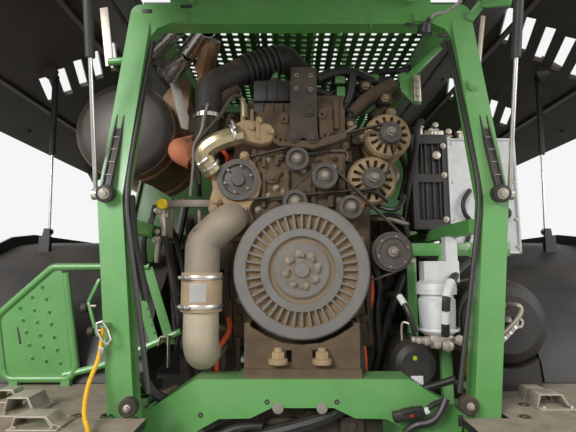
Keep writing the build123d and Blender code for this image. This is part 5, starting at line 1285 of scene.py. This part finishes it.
# Thin black discs on the chrome: painted shade for the perforations
bm = bmesh.new()
for start, end, radius in shields:
    way = (end - start).normalized()
    side = way.orthogonal().normalized()
    for row in range(9):
        for column in range(5):
            turn = 2 * pi * row / 9 + column * 0.35
            out = side * cos(turn) + way.cross(side) * sin(turn)
            at = start.lerp(end, (column + 0.5) / 5) + out * (radius + 0.0004)
            round_bar(bm, at, at + out * 0.0006, 0.0038, 10)
finished(bm, "heat_shield_hole_painted_shade", fender_black)
bm = bmesh.new()
pale = [(168, 76), (176, 72), (189, 118), (188, 130), (181, 128)]
plate(bm, outlined(pale, -1.905), (0, 0.004, 0), 0.001)
finished(bm, "stack_side_plate", cable_grey)

# Right of the engine: posts and tray, dryer base, hoses, tank and drum fittings
bm = bmesh.new()
for u0, v0, u1, v1, y, deep in (
    (409.5, 256, 416, 344, -2.12, 0.03), (440.3, 252, 447.5, 286, -2.14, 0.03),
    (412, 243, 468, 256, -2.14, 0.02), (444, 346, 452, 404, -2.19, 0.03),
):
    pane(bm, (u0, v0, u1, v1), y, y, y + deep, 0.003)
tray = [(463, 244), (466, 242), (510, 242), (510.5, 256), (489, 257.5), (470, 257.5), (463.5, 254)]
plate(bm, outlined(tray, -2.112), (0, 0.006, 0), 0.0015)
finished(bm, "cooler_tray", green_paint)
bm = bmesh.new()
for u, v, y in ((467, 245.8, -2.113), (503.3, 247, -2.113), (412.5, 262, -2.121), (412.5, 338, -2.121)):
    bolt(bm, seen(u, v, y), 0.008, 0.006, 1.5)
finished(bm, "cooler_tray_bolts", zinc_steel)
dryer = Vector((0.468, -2.29, 1.382))
bm = bmesh.new()
block = 0.04
slab(
    bm, (dryer.x - block, dryer.y - 0.045, dryer.z - 0.04),
    (dryer.x + block, dryer.y + 0.03, dryer.z + 0.002), 0.006,
)
for dx, dz, r, length in (
    (-0.058, -0.014, 0.016, 0.05), (-0.082, -0.012, 0.012, 0.04), (0.052, -0.012, 0.018, 0.05),
    (0.08, -0.016, 0.013, 0.04), (0.012, -0.03, 0.02, 0.06), (-0.024, -0.026, 0.014, 0.05),
):
    at = dryer + Vector((dx, -0.045, dz))
    stud(bm, at, 0.016, r, 6, 0.002)
    stud(bm, at, 0.026, r * 0.7, 18, 0.002, back=-0.016)
round_bar(bm, dryer + Vector((-0.1, -0.03, -0.014)), dryer + Vector((0.1, -0.03, -0.014)), 0.011, 18, 0.002)
finished(bm, "dryer_base_fittings", zinc_steel)
bm = bmesh.new()
lathe(bm, [
    (0, 0.0672), (0, 0.0705), (0.006, 0.0715), (0.01, 0.0705), (0.01, 0.0672),
], dryer + Vector((0, 0, 0.014)), (0, 0, 1), 40)
lathe(bm, band(0, 0.004, 0.0672, 0.069), dryer + Vector((0, 0, 0.15)), (0, 0, 1), 40)
finished(bm, "dryer_seams", pale_sheet)
hoses("right_bay_hoses", hose_black, [
    (0.0135, [(470, 262, -2.2), (456, 272, -2.3), (447.5, 289, -2.38), (445.5, 309, -2.385),
        (445.5, 336, -2.36)]),
    (0.01, [(384, 293, -2.2), (397.6, 294.4, -2.3), (404, 303.6, -2.34), (410.7, 316.7, -2.36),
        (415, 332, -2.35)]),
    (0.012, [(409, 392, -2.3), (433, 386.5, -2.34), (455, 379, -2.38)]),
    (0.012, [(405.5, 433, -2.44), (413.4, 424.4, -2.45), (430.4, 423, -2.46), (441, 414, -2.47),
        (446, 399, -2.46)]),
    (0.008, [(427.8, 408.7, -2.46), (435.7, 401.5, -2.46), (446, 401, -2.45)]),
    (0.02, [(380, 300, -2.0), (390, 268, -2.0), (412, 262, -2.05), (430, 264, -2.1)]),
    (0.022, [(376, 372, -2.05), (385, 330, -2.05), (392, 300, -2.0), (404, 272, -1.98)]),
    (0.009, [(488, 348, -2.36), (480, 358, -2.36), (474, 366, -2.35), (466, 380, -2.3)]),
    (0.013, [(357, 318, -2.3), (360, 345, -2.31), (362, 372, -2.33)]),
])
hoses("right_bay_sleeves", label_white, [
    (0.015, [(451, 282, -2.355), (447.6, 289, -2.381), (446.4, 297, -2.386)]),
    (0.015, [(445.5, 311, -2.385), (445.4, 317, -2.38), (445.4, 323, -2.375)]),
    (0.0112, [(399.5, 296.5, -2.315), (402, 300, -2.33), (404.6, 304.5, -2.342)]),
])
hoses("right_bay_pipes", zinc_steel, [
    (0.0042, [(402, 340, -2.32), (400.9, 326, -2.33), (404, 320.6, -2.34), (411, 325, -2.35)]),
    (0.0075, [(507, 304.9, -2.36), (517, 304, -2.4), (522, 309, -2.4), (519, 318, -2.4), (499, 337, -2.4),
        (494, 340.5, -2.4), (478, 340.5, -2.38)]),
    (0.008, [(511, 327, -2.37), (504, 334, -2.375), (488.2, 348.2, -2.365)]),
])
bm = bmesh.new()
for u, v in ((498, 304), (499.4, 320)):
    spot = seen(u, v, -2.33)
    stud(bm, spot, 0.022, 0.02, 20, 0.004, back=0.012)
    round_bar(bm, spot + Vector((0, -0.016, 0)), spot + Vector((0.024, -0.02, 0)), 0.013, 16, 0.002)
strap(bm, seen(393, 417.5, -2.455), seen(424, 411, -2.455), 0.03, 0.026, 0.005)
strap(bm, seen(402, 412, -2.457), seen(416, 409, -2.457), 0.012, 0.028, 0.003)
finished(bm, "drum_elbows_and_plug", hose_black)
bm = bmesh.new()
for u, v in ((506.6, 304.9), (507.3, 320)):
    spot = seen(u, v, -2.352)
    round_bar(bm, spot + Vector((-0.01, 0, 0)), spot + Vector((0.01, -0.002, 0)), 0.012, 6, 0.0015)
spot = seen(518.5, 322.6, -2.34)
lathe(bm, band(-0.004, 0.004, 0.009, 0.018), spot, (0.2, -1, 0), 24)
strap(bm, spot + Vector((0, 0.03, 0)), spot + Vector((0, 0.002, 0)), 0.014, 0.006, 0.001, face=(1, 0, 0))
for step in range(4):
    a = seen(512 - step * 5.0, 329 + step * 5.2, -2.366)
    round_bar(bm, a + Vector((-0.009, 0, -0.009)), a + Vector((0.009, 0, 0.009)), 0.0125, 6, 0.0015)
finished(bm, "drum_nuts", bright_steel)
bm = bmesh.new()
strap(bm, seen(410, 416.6, -2.47), seen(414, 415.6, -2.47), 0.01, 0.004, 0.001)
finished(bm, "plug_red_lock", red_lens)
bm = bmesh.new()
strap(bm, seen(424.4, 411.5, -2.462), seen(429, 409.5, -2.462), 0.018, 0.01, 0.002)
finished(bm, "plug_tag", label_white)
bm = bmesh.new()
stud(bm, seen(414.7, 358, -2.2), 0.006, 0.0085, 16, 0.002, back=0.02)
finished(bm, "tank_cap", coating("cap_lime", (176, 196, 40), 0.5, tone=0.06, dust=0.2))
bm = bmesh.new()
pane(bm, (411.4, 376, 423.2, 385), -2.2075, -2.2078, -2.198, 0.0004)
finished(bm, "tank_blank_label", label_white)
bm = bmesh.new()
for y in (-2.245, -2.045):
    lathe(bm, band(-0.016, 0.016, 0.1462, 0.149), (0.702, y, 1.418), (0, 1, 0), 56)
finished(bm, "drum_straps", worn_steel)
hoses("orange_conduits", conduit_orange, [
    (0.009, [(371, 276, -2.22), (372, 290, -2.24), (371, 304, -2.24), (366, 322, -2.24)]),
    (0.009, [(363, 346, -2.3), (366, 360, -2.31), (364, 376, -2.31)]),
    (0.01, [(361, 202, -2.24), (363, 210, -2.25), (361, 218, -2.25)]),
    (0.009, [(229, 318, -2.28), (231, 328, -2.3), (226, 338, -2.31), (214, 352, -2.31), (217, 376, -2.31)]),
    (0.008, [(222, 150, -2.24), (229, 156, -2.24), (227, 163, -2.23)]),
])

# Dark machinery that shows under the cross beam
bm = bmesh.new()
a, b = seen(206, 450, beam_face + 0.1), seen(382, 396, beam_face + 0.1)
slab(bm, (a.x, beam_face + 0.09, a.z), (b.x, beam_face + 0.13, b.z), 0.01)
for u, v, w, h in (
    (246, 418, 26, 16), (282, 424, 30, 14), (316, 414, 22, 12), (352, 424, 24, 18), (300, 402, 20, 8),
):
    a = seen(u - w / 2, v + h / 2, beam_face + 0.085)
    b = seen(u + w / 2, v - h / 2, beam_face + 0.085)
    slab(bm, (a.x, beam_face + 0.07, a.z), (b.x, beam_face + 0.1, b.z), 0.008)
    middle = (a + b) / 2
    stud(bm, middle, 0.022, 0.014, 16, 0.003)
finished(bm, "under_beam_castings", engine_dark)
hoses("under_beam_hoses", hose_black, [
    (0.016, [(200, 428, beam_face + 0.05), (232, 411, beam_face + 0.04), (286, 398, beam_face + 0.04),
        (322, 400, beam_face + 0.05), (340, 406, beam_face + 0.06)]),
    (0.02, [(246, 438, beam_face + 0.05), (290, 428, beam_face + 0.04), (330, 416, beam_face + 0.04),
        (352, 404, beam_face + 0.06)]),
    (0.012, [(216, 436, beam_face + 0.03), (238, 424, beam_face + 0.03), (262, 426, beam_face + 0.04)]),
])

# Harness, ducts and small parts over and behind the engine's head
bm = bmesh.new()
bundles = (
    (0.022, [(316, 80, -2.16), (336, 71, -2.1), (356, 73, -2.06), (374, 84, -2.04), (392, 82, -2.02)]),
    (0.019, [(352, 76, -2.08), (352, 96, -2.14), (338, 118, -2.2), (334, 134, -2.2)]),
    (0.021, [(391, 82, -2.04), (376, 96, -2.12), (356, 112, -2.18), (340, 126, -2.2)]),
    (0.016, [(330, 88, -2.05), (348, 84, -2.04), (366, 92, -2.04), (380, 104, -2.06)]),
    (0.014, [(368, 76, -2.0), (384, 70, -1.96), (404, 72, -1.9), (420, 60, -1.8)]),
    (0.018, [(318, 92, -2.1), (332, 98, -2.12), (346, 92, -2.1), (362, 102, -2.1)]),
)
for radius, points in bundles:
    ribbed(bm, points, radius, 0.009, 0.0028, 14)
finished(bm, "head_harness", hose_black)
bm = bmesh.new()
for radius, points in (
    (0.026, [(392, 84, -2.1), (376, 92, -2.14), (360, 104, -2.18), (350, 116, -2.2)]),
    (0.022, [(404, 90, -2.0), (392, 100, -2.04), (380, 112, -2.08), (370, 118, -2.1)]),
    (0.034, [(236, 88, -2.16), (222, 95, -2.18), (213, 108, -2.18), (210, 122, -2.16)]),
):
    ribbed(bm, points, radius, 0.016, 0.004, 18)
finished(bm, "dusty_corrugated_ducts", engine_cast)
bm = bmesh.new()
blocks = (
    (316, 96, 330, 112, -2.16, 0.05), (332, 74, 346, 84, -2.08, 0.04), (360, 80, 372, 92, -2.1, 0.04),
    (378, 92, 392, 104, -2.12, 0.05), (344, 118, 356, 132, -2.22, 0.03), (386, 108, 396, 118, -2.1, 0.06),
    (254, 104, 266, 116, -2.2, 0.04), (268, 112, 282, 124, -2.19, 0.04), (236, 122, 250, 132, -2.19, 0.05),
    (322, 116, 336, 128, -2.2, 0.04), (208, 96, 220, 106, -2.14, 0.05), (222, 140, 232, 150, -2.2, 0.05),
    (296, 117, 312, 141, -2.2, 0.06), (250, 150, 262, 160, -2.24, 0.03), (270, 160, 284, 170, -2.24, 0.03),
    (336, 150, 352, 162, -2.24, 0.03), (352, 132, 366, 144, -2.22, 0.04),
)
for u0, v0, u1, v1, y, deep in blocks:
    a, b = seen(u0, v1, y), seen(u1, v0, y)
    slab(bm, (a.x, y, a.z), (b.x, y + deep, b.z), 0.006)
    middle = (a + b) / 2
    stud(bm, middle, 0.014, 0.012, 14, 0.003)
finished(bm, "head_blocks", engine_dark)
bm = bmesh.new()
for u, v, r, y in (
    (322, 104, 0.012, -2.175), (339, 79, 0.01, -2.1), (366, 86, 0.011, -2.12), (385, 98, 0.012, -2.14),
    (350, 125, 0.01, -2.235), (391, 113, 0.013, -2.12), (258, 156, 0.01, -2.245), (277, 165, 0.01, -2.245),
    (344, 156, 0.012, -2.245), (300, 128, 0.009, -2.21), (308, 128, 0.009, -2.21), (246, 140, 0.01, -2.22),
    (261, 142, 0.009, -2.22), (233, 130, 0.01, -2.22), (326, 140, 0.011, -2.23), (362, 138, 0.01, -2.23),
    (371, 126, 0.012, -2.16), (282, 150, 0.009, -2.25),
):
    bolt(bm, seen(u, v, y + 0.004), r, 0.01, 1.5)
finished(bm, "head_bolts", alternator_tan)
hoses("head_pipes", worn_steel, [
    (0.006, [(252, 120, -2.24), (262, 112, -2.25), (276, 116, -2.25), (288, 124, -2.24)]),
    (0.006, [(318, 136, -2.25), (330, 140, -2.26), (344, 134, -2.26), (356, 126, -2.25)]),
    (0.005, [(241, 142, -2.26), (252, 134, -2.26), (268, 136, -2.26), (280, 128, -2.25)]),
    (0.008, [(300, 132, -2.24), (312, 128, -2.25), (324, 126, -2.24)]),
    (0.009, [(358, 218, -2.1), (374, 219, -2.16), (392, 219, -2.2), (402, 223, -2.22), (407, 224, -2.2)]),
    (0.018, [(386, 160, -2.06), (397, 170, -2.08), (395.5, 181, -2.09), (388, 187, -2.06)]),
])
hoses("head_black_hoses", hose_black, [
    (0.01, [(268, 84, -2.24), (275, 78, -2.25), (281, 86, -2.25), (282, 102, -2.24), (274, 120, -2.22)]),
    (0.009, [(378, 206, -2.22), (390, 212, -2.25), (402, 206, -2.25), (404, 196, -2.22)]),
    (0.01, [(380, 216, -2.18), (394, 214, -2.2), (404, 220, -2.2), (408, 236, -2.18)]),
    (0.011, [(396, 150, -2.05), (404, 160, -2.06), (407, 178, -2.06), (400, 200, -2.08)]),
    (0.012, [(412, 150, -1.96), (410, 180, -1.98), (408, 210, -2.0), (420, 236, -2.03), (432, 236, -2.05)]),
    (0.008, [(286, 138, -2.27), (296, 150, -2.28), (312, 156, -2.28), (330, 150, -2.27)]),
    (0.007, [(356, 196, -2.28), (366, 190, -2.28), (378, 192, -2.28), (388, 202, -2.26)]),
    (0.008, [(228, 262, -2.26), (226, 290, -2.27), (232, 312, -2.27), (230, 346, -2.27)]),
    (0.012, [(372, 262, -2.2), (382, 282, -2.2), (376, 312, -2.2), (380, 350, -2.18)]),
    (0.01, [(364, 252, -2.26), (370, 268, -2.27), (366, 286, -2.27), (370, 330, -2.26)]),
])
bm = bmesh.new()
for u0, v0, u1, v1, y in (
    (335, 76, 345, 83, -2.12), (337, 86, 345, 97, -2.15), (272, 70, 278, 79, -2.15),
    (368, 74, 378, 80, -2.06),
):
    pane(bm, (u0, v0, u1, v1), y, y, y + 0.02, 0.004)
finished(bm, "head_green_bits", green_paint)

# Plate with slots at the right, its zinc face and the rail above it
bm = bmesh.new()
right_bracket = [(398, 74), (404, 72), (421, 84), (421, 104), (414, 104), (402, 92)]
plate(bm, outlined(right_bracket, -2.1), (0, 0.012, 0), 0.002)
strap(bm, seen(440, 47, -2.085), seen(402, 84, -2.085), 0.028, 0.012)
finished(bm, "right_green_bracket", green_paint)
bm = bmesh.new()
pane(bm, (414.4, 75, 420.4, 101.5), -2.118, -2.118, -2.1, 0.002)
for v in (80, 87, 95):
    bolt(bm, seen(417.3, v, -2.117), 0.007, 0.005, 1.5)
finished(bm, "right_bracket_plate", zinc_steel)

# Dark ribbed blocks behind the engine's sides: painted shade that fills the depth of the bay and stands in
# for the pipes and castings there
bm = bmesh.new()
for x0, x1 in ((-0.53, -0.3), (0.3, 0.53)):
    for z0, z1, y in ((1.12, 1.36, -1.82), (1.345, 1.61, -1.74), (1.6, 1.86, -1.8)):
        slab(bm, (x0, y, z0), (x1, y + 0.2, z1), 0.02)
        for step in range(4):
            x = x0 + (x1 - x0) * (step + 0.5) / 4
            slab(bm, (x - 0.01, y - 0.018, z0 + 0.02), (x + 0.01, y + 0.01, z1 - 0.02), 0.004)
finished(bm, "bay_painted_shade_blocks", engine_dark)

# Outside of the machine: details that stand on the nodes' own surfaces
surfaces = {}


def landed(node, start, way):
    """Where a line from start meets a node's surface, and the way the surface faces there."""
    if node not in surfaces:
        shape = nodes[node].data
        surfaces[node] = BVHTree.FromPolygons([v.co for v in shape.vertices],
            [f.vertices for f in shape.polygons])
    way = Vector(way).normalized()
    at, facing, _, _ = surfaces[node].ray_cast(Vector(start), way)
    if at is None:
        return None, None
    return at, facing if facing.dot(way) < 0 else -facing


def landed_bolt(bm, node, start, way, radius, height=0.008):
    """A bolt where a line meets a node's surface square on."""
    at, facing = landed(node, start, way)
    if at is not None and facing.dot(Vector(way)) < -0.5:
        bolt(bm, at - facing * 0.001, radius, height, 1.6, facing)


def landed_strap(bm, node, starts, way, width, thick, bevel, lift=0.0):
    """A flat bar between the points where two lines meet a node's surface, lifted off it."""
    way = Vector(way)
    spots = [landed(node, start, way)[0] for start in starts]
    if None not in spots:
        low, high = [spot - way * lift for spot in spots]
        strap(bm, low, high, width, thick, bevel, -way)


lens_white = coating("lens_white", (226, 228, 226), 0.15, tone=0.04, dust=0.08, coat=0.6)
mirror_face = coating("mirror_face", (206, 210, 214), 0.06, metal=1.0, tone=0.03)
lamp_boxes = (
    (amber_lens, (0.5, 1.4, 3.852), (0.7, 1.6, 3.96)),
    (mirror_face, (0.88, 2.662, 2.88), (1.395, 2.671, 3.62)),
    (lens_white, (0.4, 2.774, 3.66), (0.9, 2.785, 3.76)),
)
lamp_tones = [(paint, *mirrored(low, high)[side]) for side in (0, 1) for paint, low, high in lamp_boxes]
dressed("lamps_and_mirrors", "lamps_and_mirrors_finish", black_satin, lamp_tones, 0.003)
door_glass = [(glass, (-0.886, 1.275, 2.315), (-0.829, 2.045, 3.4))]
dressed("cab_door", "cab_door_finish", green_paint, door_glass, body="door")

# Raised rings on the tyres' walls, on each wheel's own body
for wheel, centre, radii in (
    ("front_left", (-1.25, 1.8, 1.042), (0.6, 0.7)), ("front_right", (1.25, 1.8, 1.042), (0.6, 0.7)),
    ("rear_left", (-1.26, -1.25, 0.775), (0.43, 0.52)), ("rear_right", (1.26, -1.25, 0.775), (0.43, 0.52)),
):
    side = -1 if centre[0] < 0 else 1
    bm = bmesh.new()
    for radius in radii:
        at, _ = landed(wheel + "_tyre", (side * 2.5, centre[1], centre[2] + radius), (-side, 0, 0))
        if at is None:
            continue
        lathe(bm, [
            (-0.01, radius - 0.008), (0.003, radius - 0.004), (0.003, radius + 0.004),
            (-0.01, radius + 0.008),
        ], (at.x, centre[1], centre[2]), (side, 0, 0), 72)
    finished(bm, wheel + "_tyre_rings", tyre_rubber, body=wheel + "_wheel")

# Wiper, roof hatch, vents and door handle of the cab
bm = bmesh.new()
arm = [landed("cab_glass", (x, 4.0, z), (0, -1, 0))[0] for x, z in ((0.06, 2.46), (0.3, 2.92))]
blade = [landed("cab_glass", (x, 4.0, z), (0, -1, 0))[0] for x, z in ((0.1, 2.66), (0.46, 3.22))]
if all(p is not None for p in arm + blade):
    off = Vector((0, 0.026, 0))
    round_bar(bm, arm[0] + Vector((0, -0.004, 0)), arm[0] + off, 0.02, 20, 0.003)
    round_bar(bm, arm[0] + off, arm[1] + off, 0.007, 12)
    round_bar(bm, blade[0] + off * 0.7, blade[1] + off * 0.7, 0.006, 10)
    strap(bm, blade[0] + off * 0.3, blade[1] + off * 0.3, 0.012, 0.012, 0.001)
finished(bm, "windscreen_wiper", black_rubber)
bm = bmesh.new()
slab(bm, (-0.34, 1.52, 3.876), (0.34, 2.16, 3.902), 0.012)
for x in (-0.46, 0.46):
    slab(bm, (x - 0.006, 1.2, 3.874), (x + 0.006, 2.6, 3.884), 0.002)
slab(bm, (-0.78, 1.062, 3.7), (0.78, 1.072, 3.82), 0.004)
finished(bm, "cab_roof_hatch", green_paint)
bm = bmesh.new()
for number in range(9):
    z = 3.712 + number * 0.012
    slab(bm, (-0.72, 1.056, z), (0.72, 1.064, z + 0.006), 0.001)
finished(bm, "cab_roof_vents", black_satin)
bm = bmesh.new()
at, _ = landed("cab_door", (-1.6, 1.21, 2.82), (1, 0, 0))
if at is not None:
    slab(bm, at + Vector((-0.006, -0.03, -0.09)), at + Vector((0.004, 0.03, 0.09)), 0.004)
    for z in (-0.06, 0.06):
        round_bar(bm, at + Vector((0, 0, z)), at + Vector((-0.045, 0, z)), 0.008, 12)
    round_bar(bm, at + Vector((-0.045, 0, -0.075)), at + Vector((-0.045, 0, 0.075)), 0.01, 16, 0.004)
finished(bm, "cab_door_handle", black_satin, body="door")

# Bolts set on the surfaces of the feed house, middle body, tanks, fenders, frame and spout
bolt_rows = (
    ("feed_house", (0.6,), (4.4,), [0.62 + 0.16 * n for n in range(5)], (0, -1, 0), 0.014),
    ("feed_house", (1.4,), [2.84 + 0.15 * n for n in range(6)], (0.6, 1.2), (-1, 0, 0), 0.011),
    ("mid_body", (2.0,), (-0.24, 0.3, 0.83), (1.7, 2.4), (-1, 0, 0), 0.01),
    ("fuel_tanks", (2.0,), (-0.12, 0.64), (0.8, 1.5), (-1, 0, 0), 0.011),
    ("rear_fenders", [0.52 + 0.17 * n for n in range(4)], (-2.8,), (1.6,), (0, 0, -1), 0.009),
    ("main_frame", (1.0,), [-2.4 + 0.35 * n for n in range(14)], (0.98,), (-1, 0, 0), 0.013),
)
bm = bmesh.new()
for side, (node, xs, ys, zs, way, radius) in product((-1, 1), bolt_rows):
    for x, y, z in product(xs, ys, zs):
        landed_bolt(bm, node, (side * x, y, z), (side * way[0], *way[1:]), radius, 0.009)
for number in range(7):
    landed_bolt(bm, "feed_house", (-0.48 + 0.16 * number, 4.4, 1.3), (0, -1, 0), 0.012, 0.009)
finished(bm, "body_bolts", zinc_steel)
bm = bmesh.new()
for side, number in product((-1, 1), range(11)):
    y = -3.0 + number * 0.32
    top, _ = landed("spout_arm", (side * 0.12, y, 5.0), (0, 0, -1))
    if top is not None:
        landed_bolt(bm, "spout_arm", (side * 1.2, y, top.z - 0.045), (-side, 0, 0), 0.01)
finished(bm, "spout_bolts", zinc_steel, body="spout")

# Fuel cap and tank straps, grip studs on the side platforms
bm = bmesh.new()
for side, y in product((-1, 1), (0.08, 0.44)):
    ends = (side * 2.0, y, 0.86), (side * 2.0, y, 1.44)
    landed_strap(bm, "fuel_tanks", ends, (-side, 0, 0), 0.04, 0.006, 0.001)
finished(bm, "fuel_tank_straps", zinc_steel)
bm = bmesh.new()
at, facing = landed("fuel_tanks", (-1.02, 0.52, 2.6), (0, 0, -1))
if at is not None:
    lathe(bm, [
        (-0.004, 0.0), (-0.004, 0.052), (0.014, 0.052), (0.02, 0.046), (0.034, 0.044), (0.04, 0.038),
        (0.04, 0.0),
    ], at, facing, 32)
    slab(bm, at + Vector((-0.04, -0.007, 0.034)), at + Vector((0.04, 0.007, 0.052)), 0.004)
finished(bm, "fuel_cap", black_satin)
bm = bmesh.new()
for side, row, column in product((-1, 1), range(12), range(7)):
    start = (side * (0.98 + 0.095 * column), 0.86 + 0.13 * row, 2.3)
    at, facing = landed("access_platforms", start, (0, 0, -1))
    if at is not None and facing.z > 0.95 and at.z > 2.0:
        lathe(bm, [(-0.001, 0.0), (-0.001, 0.012), (0.004, 0.008), (0.004, 0.0)], at, (0, 0, 1), 8)
finished(bm, "platform_studs", deck_grain)

# Stiffeners and bolts inside the side panels and the hatch, on their own bodies
covers = (
    ("side_panel_left", "left_panel", (-0.78, -1.02, -1.44), (-2.2, -0.52), (0.03, 0.014),
     (-0.7, -0.9, -1.22, -1.6), (-2.26, -1.3, -0.42)),
    ("side_panel_right", "right_panel", (0.78, 1.02, 1.44), (-2.2, -0.52), (0.03, 0.014),
     (0.7, 0.9, 1.22, 1.6), (-2.26, -1.3, -0.42)),
    ("rear_hatch", "hatch", (-0.46, 0.0, 0.46), (-3.6, -2.7), (0.036, 0.016), (-0.6, -0.25, 0.25, 0.6),
     (-3.66, -3.1, -2.6)),
)
for node, body, rib_xs, rib_ends, rib_size, bolt_xs, bolt_ys in covers:
    bm = bmesh.new()
    for x in rib_xs:
        landed_strap(bm, node, [(x, y, 1.4) for y in rib_ends], (0, 0, 1), *rib_size, 0.003, lift=0.004)
    for x, y in product(bolt_xs, bolt_ys):
        landed_bolt(bm, node, (x, y, 1.4), (0, 0, 1), 0.01)
    finished(bm, node + "_ribs", panel_black, body=body)

# Yellow pull rope from the left post over the deck
rope_points = [
    (-0.566, -2.562, 1.44), (-0.566, -2.562, 1.366), (-0.586, -2.592, 1.295), (-0.572, -2.64, 1.23),
    (-0.53, -2.692, 1.2075), (-0.505, -2.768, 1.2085), (-0.558, -2.825, 1.2135),
]
rope_paint = coating(
    "rope_yellow", (236, 180, 18), 0.6, tone=(0.16, 150.0), dust=0.15, grain=(0.9, 420.0),
)
rope = flowing(rope_points, 0.006, 24)
rope.name = "yellow_pull_rope"
rope.data.materials.append(rope_paint)
bpy.context.scene.collection.objects.link(rope)
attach(rope, "chassis")
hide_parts("pull_rope")
knot_way = (Vector(rope_points[-1]) - Vector(rope_points[-2])).normalized()
bm = bmesh.new()
lathe(bm, [
    (0.0, 0.0), (0.0, 0.007), (0.003, 0.0115), (0.007, 0.0125), (0.0095, 0.0105), (0.0115, 0.0105),
    (0.0145, 0.0128), (0.0185, 0.012), (0.0215, 0.0085), (0.0235, 0.004), (0.024, 0.0),
], rope_points[-1], knot_way, 24)
knot = finished(bm, "pull_rope_knot", rope_paint, sharp=80.0)
